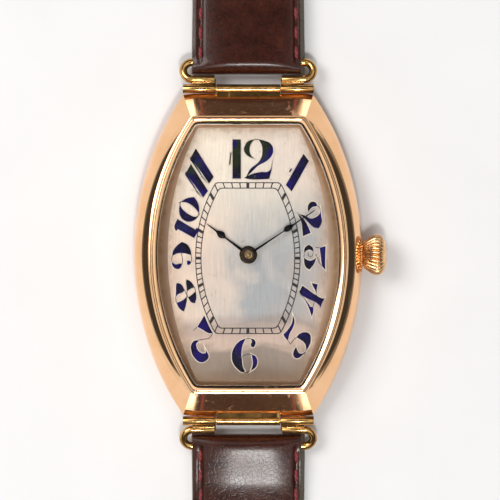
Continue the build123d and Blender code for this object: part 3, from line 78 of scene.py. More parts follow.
def add_noise(tree, where, scale, detail=2.0, **more):
    """Cloudy noise."""
    given = {"Vector": where, "Scale": scale, "Detail": detail, **more}
    return add_node(tree, "TexNoise", given).outputs["Fac"]


def add_range(tree, value, low, high, to_low=0.0, to_high=1.0, **settings):
    """A value carried from one range to another."""
    given = {"Value": value, "From Min": low, "From Max": high, "To Min": to_low, "To Max": to_high}
    return add_node(tree, "MapRange", given, **settings).outputs[0]


def add_ramp(tree, factor, *stops):
    """A colour ramp through stops of place and colour, or of place and grey."""
    ramp = add_node(tree, "ValToRGB", {"Fac": factor})
    points = ramp.color_ramp.elements
    while len(points) < len(stops):
        points.new(0.5)
    for point, (place, colour) in zip(points, stops):
        point.position = place
        point.color = (*colour, 1) if isinstance(colour, tuple) else (colour, colour, colour, 1)
    return ramp.outputs["Color"]


def add_math(tree, operation, *values):
    """A sum, product or other operation on numbers or outputs."""
    return add_node(tree, "Math", dict(enumerate(values)), operation=operation).outputs[0]


def scaled(tree, value, factor, added):
    """A value times a factor, with another added."""
    return add_math(tree, "MULTIPLY_ADD", value, factor, added)


def add_mix(tree, factor, first, second):
    """Two colours mixed by a factor."""
    first, second = (colour if isinstance(colour, bpy.types.NodeSocket) else (*colour, 1)
                     for colour in (first, second))
    return add_node(tree, "Mix", {0: factor, 6: first, 7: second}, data_type="RGBA").outputs[2]


def new_material(name, **sockets):
    """A material with plain values set on its shader, and its node tree."""
    made = bpy.data.materials.new(name)
    made.use_nodes = True
    shader = made.node_tree.nodes["Principled BSDF"]
    for socket, value in sockets.items():
        shader.inputs[socket.replace("_", " ")].default_value = value
    return made, made.node_tree


def plug(tree, **outputs):
    """Links outputs to the shader's sockets."""
    for socket, output in outputs.items():
        tree.links.new(output, tree.nodes["Principled BSDF"].inputs[socket.replace("_", " ")])


def mottled(name, scale, detail, *stops, **sockets):
    """A material whose colour is mottled by noise, and its node tree."""
    made, tree = new_material(name, **sockets)
    plug(tree, Base_Color=add_ramp(tree, add_noise(tree, object_place(tree), scale, detail), *stops))
    return made, tree


bpy.ops.mesh.primitive_plane_add(size=1.6, location=(0, 0, -0.02 * MM))
table_top = bpy.context.object
table_top.name = "table_top"
pale, tree = mottled("pale_table", 60.0, 3.0, (0.3, (0.83, 0.82, 0.825)), (0.7, (0.86, 0.85, 0.855)),
                     Roughness=0.9, Specular_IOR_Level=0.1, Emission_Color=(*WARM_WHITE, 1))
spot = axes(tree, object_place(tree))
# Painted reflection: a patch of table more than about 5 cm from the middle along the watch's length, and within
# about 4 cm across, glows, but only where it is seen mirrored, so that the gold's end facets and knuckles show
# it bright.
painted_glow_lengthways = add_range(tree, add_math(tree, "ABSOLUTE", spot["Y"]), 0.05, 0.062, 0.0, 1.7,
                    interpolation_type="SMOOTHSTEP")
painted_light_across = add_range(tree, add_math(tree, "ABSOLUTE", spot["X"]), 0.04, 0.03, interpolation_type="SMOOTHSTEP")
mirrored = add_node(tree, "LightPath").outputs["Is Glossy Ray"]
mirrored_only_glow = add_math(tree, "MULTIPLY", add_math(tree, "MULTIPLY", painted_glow_lengthways, painted_light_across), mirrored)
plug(tree, Emission_Strength=mirrored_only_glow)
table_top.data.materials.append(pale)

for name, place, size, energy in (("soft_lamp", (-0.364, 0.21, 0.58), 0.36, 2.45),
                                  ("small_lamp", (0.02, -0.225, 0.60), 0.10, 1.5)):
    bpy.ops.object.light_add(type="AREA", location=place)
    lamp = bpy.context.object
    lamp.name = name
    lamp.data.size = size
    lamp.data.energy = energy
    lamp.data.color = WARM_WHITE
    lamp.rotation_euler = lamp.location.to_track_quat("Z", "Y").to_euler()

room = bpy.data.worlds.new("room")
room.use_nodes = True
tree = room.node_tree
towards = axes(tree, add_node(tree, "TexCoord").outputs["Generated"])
ceiling = add_ramp(tree, towards["Z"], (0.0, 0.0), (0.42, 0.055), (0.70, 0.05), (0.80, 1.0), (0.93, 1.05),
                   (0.968, 0.06), (1.0, 0.04))
walls = add_ramp(tree, scaled(tree, towards["X"], 0.5, 0.5), (0.0, 0.95), (0.2, 0.72), (0.36, 0.16),
                 (0.62, 0.1), (1.0, 0.3))
low_down = add_ramp(tree, towards["Z"], (0.0, 1.0), (0.3, 1.0), (0.42, 0.0))
background = tree.nodes["Background"].inputs
tree.links.new(scaled(tree, walls, low_down, ceiling), background["Color"])
background["Strength"].default_value = 1.02
bpy.context.scene.world = room
bpy.context.scene.view_settings.view_transform = "Standard"

bpy.ops.object.camera_add(location=(0.24 * MM, 0.67 * MM, 0.65), rotation=(0, 0, 0))
camera = bpy.context.object
camera.data.lens = 331.0
camera.data.clip_start = 0.02
bpy.context.scene.camera = camera

# Movement: a hand-wound movement of nickel-plated brass plates and bridges with gilt wheels,
# hardened steel arbors, springs and screws, and ruby jewels. It is screwed together, held in
# the case by its ring, and mostly hidden by the dial and the case back.


def new_group(name, inputs, outputs):
    """A node group with number sockets, and what its inputs give."""
    group = bpy.data.node_groups.new(name, "ShaderNodeTree")
    for way, sockets in (("INPUT", inputs), ("OUTPUT", outputs)):
        for socket in sockets:
            group.interface.new_socket(socket, in_out=way, socket_type="NodeSocketFloat")
    return group, group.nodes.new("NodeGroupInput").outputs


def close_group(group, **outputs):
    """Links outputs to the group's own."""
    result = group.nodes.new("NodeGroupOutput").inputs
    for socket, output in outputs.items():
        group.links.new(output, result[socket])


def add_bump(tree, height, strength, distance):
    """Normals of a surface with a height, whose distance is in mm."""
    given = {"Height": height, "Strength": strength, "Distance": distance * MM}
    return add_node(tree, "Bump", given).outputs[0]


def stretched(tree, where, scale, turn=(0, 0, 0)):
    """A place stretched and turned."""
    return add_node(tree, "Mapping", {"Vector": where, "Rotation": turn, "Scale": scale}).outputs[0]


# Fine wear: broad patches, hair-thin scratches in two directions, and their height.
wear_group, given = new_group("fine_wear", ("Patch Size", "Scratch Size"), ("Patches", "Scratches", "Height"))
where = object_place(wear_group)
patches = add_noise(wear_group, where, given["Patch Size"], 5.0, Roughness=0.6)
lengthways = [stretched(wear_group, where, (1.0, 0.05, 1.0), (0.3, 0.2, turn)) for turn in (0.5, 2.1)]
scratches = add_math(wear_group, "MAXIMUM", *(
    add_range(wear_group, add_noise(wear_group, way, given["Scratch Size"]), 0.66, 0.72) for way in lengthways))
close_group(wear_group, Patches=patches, Scratches=scratches,
            Height=add_math(wear_group, "SUBTRACT", add_math(wear_group, "MULTIPLY", patches, 0.3), scratches))


def worn_metal(name, clean, tarnished, smooth, rough, patch_size=300.0):
    """A metal whose colour and polish change with fine wear."""
    made, tree = new_material(name, Metallic=1.0)
    given = {"Patch Size": patch_size, "Scratch Size": 900.0}
    wear = add_node(tree, "Group", given, node_tree=wear_group).outputs
    patches = add_range(tree, wear["Patches"], 0.35, 0.7)
    plug(tree, Base_Color=add_mix(tree, patches, clean, tarnished),
         Roughness=scaled(tree, wear["Scratches"], 0.12, add_range(tree, patches, 0.0, 1.0, smooth, rough)),
         Normal=add_bump(tree, wear["Height"], 0.02, 0.02))
    return made


def dress(material, *nodes):
    """Gives frame pieces a finish."""
    for name in nodes:
        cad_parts[name].data.materials.clear()
        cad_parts[name].data.materials.append(material)


nickel = worn_metal("nickelled_brass", (0.62, 0.58, 0.5), (0.5, 0.45, 0.36), 0.24, 0.38)
brass = worn_metal("gilt_brass", (0.86, 0.62, 0.24), (0.7, 0.47, 0.16), 0.2, 0.34)
steel = worn_metal("polished_steel", (0.6, 0.6, 0.6), (0.48, 0.47, 0.45), 0.14, 0.28)
blue_steel = worn_metal("blued_spring_steel", (0.03, 0.06, 0.24), (0.05, 0.05, 0.12), 0.2, 0.34)
ruby, tree = mottled("ruby", 1500.0, 2.0, (0.3, (0.35, 0.005, 0.03)), (0.7, (0.6, 0.02, 0.08)), Roughness=0.06,
                     IOR=1.76, Coat_Weight=0.6)
dress(nickel, "main_plate", "barrel_bridge", "train_bridge", "balance_cock", "pallet_cock", "movement_ring")
dress(brass, "centre_wheel", "third_wheel", "fourth_wheel", "escape_wheel", "mainspring_barrel", "barrel_cover",
      "balance_wheel", "hour_wheel", "minute_wheel", "setting_wheel", "cannon_pinion")
dress(steel, "movement_screws", "bridge_screws", "regulator", "pallet_fork", "click", "winding_pinion",
      "winding_stem", "sliding_pinion", "crown_wheel", "ratchet_wheel", "barrel_arbor", "setting_lever", "yoke")
dress(blue_steel, "click_spring", "hairspring", "mainspring")
dress(ruby, "jewels")

# Case: rose gold, milled as one barrel-shaped middle with sloping mirror-polished end plates and
# small facets at the corners, with a hinge knuckle soldered on at each end, a pressed-on back
# and the stem's tube. It is hand polished, with edges softened by wear.
CASE_SHAPE = (16.05, 22.65, 9.35)        # half width, half length and half the width at a corner
RING_SHAPE = (13.9, 19.45, 7.95)
OPENING_INSET = 0.6
CASE_FOOT, CASE_WIDEST, CASE_TOP = 1.2, 3.3, 6.9
FLANK_CENTRE, FLANK_RADIUS = 11.15, 4.9
WIDEST_STEP = 0.4        # the step of a case row at which the case is widest
SHOULDER_FALL = 0.58        # the shoulder's drop for each mm outwards
CORNER_HEADING = 0.594        # the way outwards at a corner, in radians from 3 o'clock
HINGE_PLACE, HINGE_HEIGHT = 23.35, 3.3
STEM_HEIGHT = 3.7
SIDE_STEPS, END_STEPS = 64, 10
EDGE_ANGLE = radians(35)
CORNER_EASE, CORNER_SWELL = 0.35, 0.06


def rotated(x, y, angle):
    """A flat place turned round the middle."""
    return x * cos(angle) - y * sin(angle), x * sin(angle) + y * cos(angle)


def side_radius(shape):
    """Radius of a barrel shape's sides, from its half width, half length and half corner width."""
    rise = shape[0] - shape[2]
    return (shape[1] ** 2 + rise ** 2) / (2 * rise)


def inset(shape, distance):
    """The same barrel shape drawn a distance further in."""
    radius, length = side_radius(shape), shape[1] - distance
    return shape[0] - distance, length, shape[0] - radius + sqrt((radius - distance) ** 2 - length ** 2)


def between(stops, place):
    """A value on straight lines through stops of place and value."""
    for (start, first), (stop, last) in zip(stops, stops[1:]):
        if place <= stop:
            return first + (last - first) * (place - start) / (stop - start)
    return stops[-1][1]


def barrel_quarter(shape, facet=None):
    """Points from 3 o'clock to 12 o'clock on a barrel shape, its corner eased or cut by a facet."""
    half_width, half_length, corner = shape
    radius = side_radius(shape)
    centre = half_width - radius
    last = atan2(half_length, corner - centre)
    if facet is None:
        last -= CORNER_EASE / radius
        corner -= CORNER_EASE
    shares = [i / SIDE_STEPS for i in range(SIDE_STEPS + 1)]
    quarter = [(centre + radius * cos(last * share), radius * sin(last * share)) for share in shares]
    swell = CORNER_SWELL
    if facet is not None:
        *outer, corner = facet
        shift = [goal - end for goal, end in zip(outer, quarter[-1])]
        quarter = [(x + shift[0] * share ** 3, y + shift[1] * share ** 3)
                   for share, (x, y) in zip(shares, quarter)]
        swell = 0.0
    quarter.append(((quarter[-1][0] + corner) / 2 + swell, (quarter[-1][1] + half_length) / 2 + swell))
    return quarter + [(corner * (1 - i / END_STEPS), half_length) for i in range(END_STEPS + 1)]


def all_round(quarter):
    """A quarter's points mirrored into a closed round."""
    back = quarter[-2::-1]
    return (quarter + [(-x, y, *z) for x, y, *z in back] + [(-x, -y, *z) for x, y, *z in quarter[1:]]
            + [(x, -y, *z) for x, y, *z in back])


def pick(*pieces):
    """Selects some pieces and makes the first active."""
    bpy.ops.object.select_all(action="DESELECT")
    for piece in pieces:
        piece.select_set(True)
    bpy.context.view_layer.objects.active = pieces[0]


def change(piece, kind, **settings):
    """Applies a modifier to a piece."""
    pick(piece)
    step = piece.modifiers.new(kind, kind)
    for name, value in settings.items():
        setattr(step, name, value)
    bpy.ops.object.modifier_apply(modifier=step.name)
    return piece


def joined(name, pieces):
    """Pieces joined into one."""
    pick(*pieces)
    bpy.ops.object.join()
    bpy.context.object.name = bpy.context.object.data.name = name
    return bpy.context.object


def skin(name, around, along, place, capped=True, ridges=()):
    """A skin that starts as a flat grid: one way is wrapped round, and every point is put in place."""
    bpy.ops.mesh.primitive_grid_add(x_subdivisions=around, y_subdivisions=along, size=2.0)
    made = bpy.context.object
    made.name = name
    steps = [((point.co.x + 1) / 2, (point.co.y + 1) / 2) for point in made.data.vertices]
    for edge in made.data.edges:
        columns = {round(steps[i][0] * around) for i in edge.vertices}
        edge.use_edge_sharp = len(columns) == 1 and columns <= set(ridges)
    for point, step in zip(made.data.vertices, steps):
        point.co = Vector(place(*step)) * MM
    bpy.ops.object.mode_set(mode="EDIT")
    bpy.ops.mesh.select_all(action="SELECT")
    bpy.ops.mesh.remove_doubles(threshold=0.002 * MM)
    if capped:
        bpy.ops.mesh.select_all(action="SELECT")
        bpy.ops.mesh.fill_holes(sides=0)
    bpy.ops.mesh.select_all(action="SELECT")
    bpy.ops.mesh.normals_make_consistent(inside=False)
    bpy.ops.object.mode_set(mode="OBJECT")
    bpy.ops.object.shade_smooth_by_angle(angle=EDGE_ANGLE, keep_sharp_edges=True)
    return made


def even_shading(piece):
    """Normals follow the larger faces, so that flat polished faces mirror flatly."""
    pick(piece)
    bpy.ops.object.shade_smooth_by_angle(angle=EDGE_ANGLE, keep_sharp_edges=True)
    return change(piece, "WEIGHTED_NORMAL", keep_sharp=True, weight=80)


def rows_skin(name, rows, capped=True, ridges=()):
    """A skin through rows of points that all run round the same way."""
    around, along = len(rows[0]) - 1, len(rows) - 1
    return even_shading(skin(name, around, along, lambda u, v: rows[round(v * along)][round(u * around)],
                             capped, ridges))


def level(shape, height, share=1.0):
    """A row of points round a barrel shape at a height, drawn in to a share of it."""
    return [(x * share, y * share, height) for x, y in all_round(barrel_quarter(shape))]


def cut_through(piece, cutters):
    """Cuts punches and bores out of a piece."""
    tool = joined("punch", cutters)
    change(piece, "BOOLEAN", object=tool, operation="DIFFERENCE", solver="EXACT")
    bpy.data.objects.remove(tool)


def finished_copy(node, edge, name, rounds=2):
    """A frame piece's copy with its doubles merged, flat faces joined and sharp edges rounded."""
    made = bpy.data.objects.new(name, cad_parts[node].data.copy())
    bpy.context.collection.objects.link(made)
    pick(made)
    made.data.materials.clear()
    bpy.ops.object.mode_set(mode="EDIT")
    bpy.ops.mesh.select_all(action="SELECT")
    bpy.ops.mesh.remove_doubles(threshold=0.002 * MM)
    bpy.ops.mesh.dissolve_limited(angle_limit=radians(0.02))
    bpy.ops.object.mode_set(mode="OBJECT")
    return even_shading(change(made, "BEVEL", width=edge * MM, segments=rounds, limit_method="ANGLE",
                               angle_limit=EDGE_ANGLE))


def fit(piece, body, material, *nodes, slot=None):
    """Gives a piece its finish and its body, and hides the frame pieces it stands for."""
    piece.data.materials.clear()
    piece.data.materials.append(material)
    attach(piece, body)
    if nodes:
        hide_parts(*nodes)
    return piece


def flank_shape(height, eased=0.0):
    """The flanks' barrel shape at a height, its sides drawn in a little where an edge is worn."""
    half_width = FLANK_CENTRE + sqrt(FLANK_RADIUS ** 2 - (height - CASE_WIDEST) ** 2) - eased
    half_length = between(((CASE_FOOT, 21.45), (2.3, 22.35), (CASE_WIDEST, CASE_SHAPE[1]),
                           (CASE_TOP, RING_SHAPE[1])), height)
    radius = side_radius(CASE_SHAPE) - (CASE_SHAPE[0] - half_width)
    return half_width, half_length, half_width - radius + sqrt(radius ** 2 - half_length ** 2)


def facet_at(height, half_length):
    """The corner facet at a height: its outer point, and where it meets the end plate."""
    share = max(0.0, (height - CASE_WIDEST) / (CASE_TOP - CASE_WIDEST))
    return 9.14 - 1.11 * share, half_length - 0.15, 7.85 - 0.4 * share


def case_row(step, eased=0.0):
    """A row round the case, from step 0 at its foot to 1 at the flank's top and 2 at the bezel's foot."""
    height = CASE_FOOT + (CASE_WIDEST - CASE_FOOT) * min(1.0, step / WIDEST_STEP)
    shape = flank_shape(height, eased)
    flank = barrel_quarter(shape, facet_at(height, shape[1]))
    ring = barrel_quarter(RING_SHAPE, facet_at(CASE_TOP, RING_SHAPE[1]))
    quarter = []
    for i, (widest, foot) in enumerate(zip(map(Vector, flank), map(Vector, ring))):
        along = min(1.0, i / SIDE_STEPS)
        run = 0.15 + (1 - along ** 4) * (1.0 - 0.2 * along)
        edge = CASE_TOP - SHOULDER_FALL * run
        out = Vector(rotated(1, 0, CORNER_HEADING * along))
        straight = (edge - CASE_WIDEST) / (CASE_TOP - CASE_WIDEST)
        shoulder = (foot + out * run).lerp(widest.lerp(foot, straight), along ** 8)
        if step <= WIDEST_STEP:
            quarter.append((*widest, height))
        elif step <= 1.0:
            climb = (step - WIDEST_STEP) / (1 - WIDEST_STEP)
            arc = (FLANK_RADIUS - sqrt(FLANK_RADIUS ** 2 - (2.9 * climb) ** 2)) / 0.95
            place = widest.lerp(shoulder, arc + (climb - arc) * along ** 3) - out * eased * (along < 1)
            quarter.append((*place, CASE_WIDEST + (edge - CASE_WIDEST) * climb))
        else:
            quarter.append((*shoulder.lerp(foot, step - 1), edge + (CASE_TOP - edge) * (step - 1)))
    return all_round(quarter)


rose_gold = worn_metal("rose_gold", (0.94, 0.59, 0.34), (0.86, 0.50, 0.25), 0.05, 0.13, patch_size=180.0)
# The knuckles, hinge pins and loops take a darker, yellower copy of the case's gold, mottled by wear: painted
# shade for the darker reflections they show.
shaded_worn_gold = worn_metal("shaded_worn_gold", (0.72, 0.42, 0.15), (0.30, 0.15, 0.04), 0.1, 0.24, patch_size=900.0)
opening = inset(RING_SHAPE, OPENING_INSET)
rows = [level(opening, CASE_FOOT), case_row(0.0, 0.03)]
rows += [case_row(step) for step in (0.012, 0.08, 0.15, 0.21, 0.267, 0.31, 0.34, 0.36, 0.38, 0.4, 0.45,
                                     0.52, 0.6, 0.68, 0.76, 0.84, 0.92, 0.975)]
rows += [case_row(1.0, 0.025)] + [case_row(step) for step in (1.1, 1.4, 1.7, 2.0)]
rows += [level(opening, CASE_TOP), level(opening, CASE_FOOT)]
half_round = 2 * (SIDE_STEPS + END_STEPS + 2)
corners = {base + way * step for base, way in ((0, 1), (half_round, -1), (half_round, 1), (2 * half_round, -1))
           for step in (SIDE_STEPS, SIDE_STEPS + 2)}
middle = rows_skin("case_middle", rows, ridges=corners)
tools = []
for vertices, inner, outer, depth, out in ((72, 1.75, 3.355, 1.452, 15.826), (48, 1.02, 1.02, 8.0, 14.5)):
    bpy.ops.mesh.primitive_cone_add(vertices=vertices, radius1=inner * MM, radius2=outer * MM, depth=depth * MM,
                                    location=(out * MM, 0, STEM_HEIGHT * MM), rotation=(0, pi / 2, 0))
    tools.append(bpy.context.object)
cut_through(middle, tools)
knuckle_ends = ((-4.5, 0.3), (-4.5, 0.57), (-4.48, 0.615), (-4.43, 0.64), (4.43, 0.64), (4.48, 0.615),
                (4.5, 0.57), (4.5, 0.3))
parts = [even_shading(middle)]
for way in (1, -1):
    parts.append(rows_skin("knuckle", [[(x, way * HINGE_PLACE + y, HINGE_HEIGHT + z) for y, z in
                                        (rotated(radius, 0, tau * i / 48) for i in range(49))]
                                       for x, radius in knuckle_ends]))
    bpy.ops.mesh.primitive_cube_add(size=1.0, location=(0, way * 22.71 * MM, HINGE_HEIGHT * MM))
    parts.append(bpy.context.object)
    parts[-1].data.transform(Matrix.Diagonal((8.96 * MM, 1.2 * MM, 0.9 * MM, 1)))
case_middle = fit(joined("case_middle", parts), "case", rose_gold, "case_body", slot="case_gold")
# Near-black gold for the faces of the knuckles and loops that look into the gap at the case: painted shade.
gap_shade_gold = worn_metal("gap_shade_gold", (0.22, 0.10, 0.03), (0.10, 0.045, 0.015), 0.35, 0.5, patch_size=900.0)


def facing_case(face):
    """Whether a hinge's face looks towards the case, into the gap where the shade is painted."""
    return face.normal.y * face.center.y < -0.35 * abs(face.center.y)


# The knuckles take the darker shaded copy of the gold, and their faces towards the case the painted shade of
# the gap.
case_middle.data.materials.append(shaded_worn_gold)
case_middle.data.materials.append(gap_shade_gold)
for face in case_middle.data.polygons:
    if abs(face.center.y) > (CASE_SHAPE[1] + 0.01) * MM:
        face.material_index = 2 if facing_case(face) else 1
rest = inset(CASE_SHAPE, 2.6)
rim = (15.52, 21.43, inset(CASE_SHAPE, 1.2)[2] + 0.66)
plug_shape, hollow = inset(opening, 0.02), inset(opening, 0.52)
back_rows = [level(rest, 0.0, 0.0), level(rest, 0.0, 0.5), level(rest, 0.0, 0.985), level(rest, 0.02, 1.002),
             level(rest, 0.06, 1.012), level(rim, 1.1, 0.99), level(rim, 1.16), level(rim, CASE_FOOT),
             level(plug_shape, CASE_FOOT), level(plug_shape, 1.8), level(hollow, 1.8), level(hollow, 0.45),
             level(hollow, 0.45, 0.0)]
fit(rows_skin("case_back_cover", back_rows), "case", rose_gold, "case_back", slot="case_gold")
fit(finished_copy("crown_tube", 0.04, "stem_tube"), "case", rose_gold, "crown_tube", slot="case_gold")
# The hinge pins take the darker copy of the gold, its painted shade with wear.
dress(shaded_worn_gold, "hinge_pin_12", "hinge_pin_6")

# Bezel: a stepped gold ring pressed on over the glass, its rim rounded and sloping in to the
# glass. The sloped gilt wall under the glass was turned and is duller, out of reach of a cloth.
BEZEL_SECTION = ((0.0, CASE_TOP), (0.0, 7.5), (0.015, 7.54), (0.05, 7.56), (0.23, 7.565), (0.26, 7.59),
                 (0.27, 7.8), (0.32, 7.92), (0.40, 7.985), (0.48, 8.0), (0.58, 7.98), (1.04, 7.83),
                 (1.11, 7.79), (1.15, 7.7), (1.15, 6.15), (0.62, 6.15), (0.62, CASE_TOP), (0.0, CASE_TOP))
fit(rows_skin("bezel_ring", [level(inset(RING_SHAPE, distance), height) for distance, height in BEZEL_SECTION]),
    "case", rose_gold, "bezel", slot="case_gold")
dull_gilt = worn_metal("dull_gilt", (0.52, 0.33, 0.19), (0.34, 0.20, 0.10), 0.42, 0.58, patch_size=500.0)
tree = dull_gilt.node_tree
# Painted shade: the wall is darker towards its top, under the bezel's rim, and paler at its foot.
high = add_range(tree, axes(tree, object_place(tree))["Z"], 6.1 * MM, 6.8 * MM)
worn = tree.nodes["Principled BSDF"].inputs["Base Color"].links[0].from_socket
plug(tree, Base_Color=add_mix(tree, high, (0.66, 0.49, 0.37), worn))
wall_outside, wall_foot = inset(RING_SHAPE, 1.17), (11.2, 17.75, 7.05)
wall_section = ((wall_outside, 6.0), (wall_outside, 7.02), (inset(RING_SHAPE, 1.2), 7.05),
                (inset(RING_SHAPE, 1.3), 7.1), (wall_foot, 6.03), (wall_foot, 6.0), (wall_outside, 6.0))
fit(rows_skin("gilt_wall", [level(shape, height) for shape, height in wall_section]), "case", dull_gilt,
    "dial_flange", slot="flange_gilt")

# Dial: a silvered brass plate, brushed up and down, with a warm old patina that has browned
# towards its lower edge. Its two feet are pinned into the movement.
silver, tree = new_material("aged_silvering", Metallic=0.15, Specular_IOR_Level=0.35)
where = object_place(tree)
place = axes(tree, where)
cloud = add_noise(tree, where, 150.0, 6.0, Roughness=0.62)
speck = add_noise(tree, where, 850.0, 5.0, Roughness=0.7)
brushed = add_noise(tree, stretched(tree, where, (1.0, 0.06, 1.0)), 5200.0, 4.0)
# Painted light: the dial is painted lighter and warmer at the left, towards the lamp, grey in the middle and a
# little lighter at the right, and lighter still at the top left, where the lamp's sheen falls.
across = scaled(tree, place["X"], 36.0, scaled(tree, cloud, 0.7, 0.13))
painted_light_across = add_ramp(tree, across, (0.12, (0.93, 0.72, 0.58)), (0.34, (0.70, 0.595, 0.52)),
                    (0.5, (0.41, 0.425, 0.44)), (0.66, (0.42, 0.425, 0.43)), (0.9, (0.53, 0.44, 0.38)))
upward = scaled(tree, place["Y"], 28.0, scaled(tree, cloud, 0.34, 0.33))
leftward = add_ramp(tree, scaled(tree, place["X"], 45.0, 0.5), (0.3, 1.0), (1.0, 0.55))
painted_top_left_light = add_math(tree, "MULTIPLY", leftward, add_ramp(tree, upward, (0.48, 0.0), (0.85, 1.0)))
painted_light_toned = add_mix(tree, painted_top_left_light, painted_light_across, (0.97, 0.86, 0.72))
rosy = add_noise(tree, where, 75.0, 3.0, Distortion=0.6)
veiled = add_mix(tree, add_range(tree, rosy, 0.52, 0.66, 0.0, 0.6), painted_light_toned, (0.84, 0.70, 0.61))
wisps = add_noise(tree, stretched(tree, where, (0.45, 1.0, 1.0)), 210.0, 3.0, Distortion=0.8)
downward = scaled(tree, place["Y"], -50.0, scaled(tree, wisps, 0.3, -0.15))
low_colour = add_ramp(tree, downward, (0.5, (0.34, 0.24, 0.185)), (0.56, (0.60, 0.44, 0.36)),
                      (0.62, (0.66, 0.48, 0.38)), (0.68, (0.30, 0.23, 0.18)), (0.80, (0.22, 0.16, 0.115)),
                      (0.90, (0.14, 0.085, 0.05)))
low_share = add_ramp(tree, downward, (0.42, 0.0), (0.50, 0.5), (0.56, 0.85), (1.0, 0.95))
browned = add_mix(tree, low_share, veiled, low_colour)
side_curve = scaled(tree, add_math(tree, "MULTIPLY", place["Y"], place["Y"]), -12.5, 0.0112)
side_room = add_math(tree, "SUBTRACT", side_curve, add_math(tree, "ABSOLUTE", place["X"]))
end_room = add_math(tree, "SUBTRACT", 0.01775, add_math(tree, "ABSOLUTE", place["Y"]))
# Painted shade: the dial is darker in a ragged band along its rim, in the corner at the gilt wall's foot.
edge_room = scaled(tree, add_math(tree, "MINIMUM", side_room, end_room), 420.0, scaled(tree, speck, 1.2, -0.62))
wall_foot_shade = add_ramp(tree, edge_room, (0.0, 0.6), (0.25, 0.3), (0.8, 0.0))
wall_foot_shaded = add_mix(tree, wall_foot_shade, browned, (0.30, 0.19, 0.11))
spotted = add_mix(tree, add_range(tree, speck, 0.6, 0.72, 0.0, 0.5), wall_foot_shaded, (0.34, 0.24, 0.17))
lined = add_range(tree, brushed, 0.3, 0.7, 0.9, 1.06)
plug(tree, Base_Color=add_node(tree, "VectorMath", {0: spotted, 1: lined}, operation="MULTIPLY").outputs[0],
     Roughness=add_range(tree, brushed, 0.0, 1.0, 0.4, 0.6), Normal=add_bump(tree, brushed, 0.15, 0.01))
dress(silver, "dial")
DIAL_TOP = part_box("dial")[1].z / MM

# Minute track: two thin black lines in the dial's own barrel shape, with a tick for every minute
# between them and a thick one for every fifth, printed on the dial in enamel ink.
TRACK_MIDDLE = (-0.06, -0.47)
TRACK_SHAPES = ((7.24, 10.56, 4.46), (6.5, 9.80, 3.94))
TRACK_LINE = 0.13
TICK_WIDTH, FIFTH_TICK_WIDTH = 0.17, 0.42
INK_THICKNESS = 0.02


def thicken(piece, thickness, offset):
    """Gives an open skin a wall."""
    return change(piece, "SOLIDIFY", thickness=thickness * MM, offset=offset)


def track_reach(shape, angle):
    """Distance from the track's middle to one of its lines, at an angle from 3 o'clock."""
    radius = side_radius(shape)
    across, up = abs(cos(angle)), abs(sin(angle))
    centre = shape[0] - radius
    side = centre * across + sqrt(radius ** 2 - (centre * up) ** 2)
    return min(side, shape[1] / up if up > 1e-6 else side)


def on_track(out, side, angle, rise):
    """A place at a distance from the track's middle and to the side of a line at an angle."""
    x, y = rotated(out, side, angle)
    return TRACK_MIDDLE[0] + x, TRACK_MIDDLE[1] + y, DIAL_TOP + rise


ink, tree = mottled("black_ink", 1200.0, 3.0, (0.35, (0.012, 0.011, 0.013)), (0.75, (0.05, 0.042, 0.04)),
                    Roughness=0.35, Specular_IOR_Level=0.3)
for name, shape in zip(("track_outer_line", "track_inner_line"), TRACK_SHAPES):
    rows = [[(x + TRACK_MIDDLE[0], y + TRACK_MIDDLE[1], DIAL_TOP)
             for x, y in all_round(barrel_quarter(inset(shape, side * TRACK_LINE / 2)))] for side in (1, -1)]
    fit(thicken(rows_skin(name, rows, capped=False), INK_THICKNESS, 1), "case", ink, slot="dial_silver")
ticks = []
for minute in range(60):
    angle = tau * minute / 60
    far, near = (track_reach(shape, angle) for shape in TRACK_SHAPES)
    width = TICK_WIDTH if minute % 5 else FIFTH_TICK_WIDTH
    bpy.ops.mesh.primitive_cube_add(size=1.0)
    ticks.append(bpy.context.object)
    for point in ticks[-1].data.vertices:
        outer = point.co.x > 0
        point.co = Vector(on_track(far if outer else near, point.co.y * width * (1.0 if outer else 0.92), angle,
                                   1.5 * INK_THICKNESS if point.co.z > 0 else 0.0)) * MM
fit(joined("track_ticks", ticks), "case", ink, slot="dial_silver")

# Hour figures: large ornamental figures in thick blue enamel with darker outlines, painted on a
# cream ground by hand and fired or baked, so they stand a hair above the dial and shine.
STROKE_OF_ELEVEN = ((10, 83, 80, 97, 90, 9, 30, 0), (-6, 80, 4, 83, 14, 30, 6, 30))
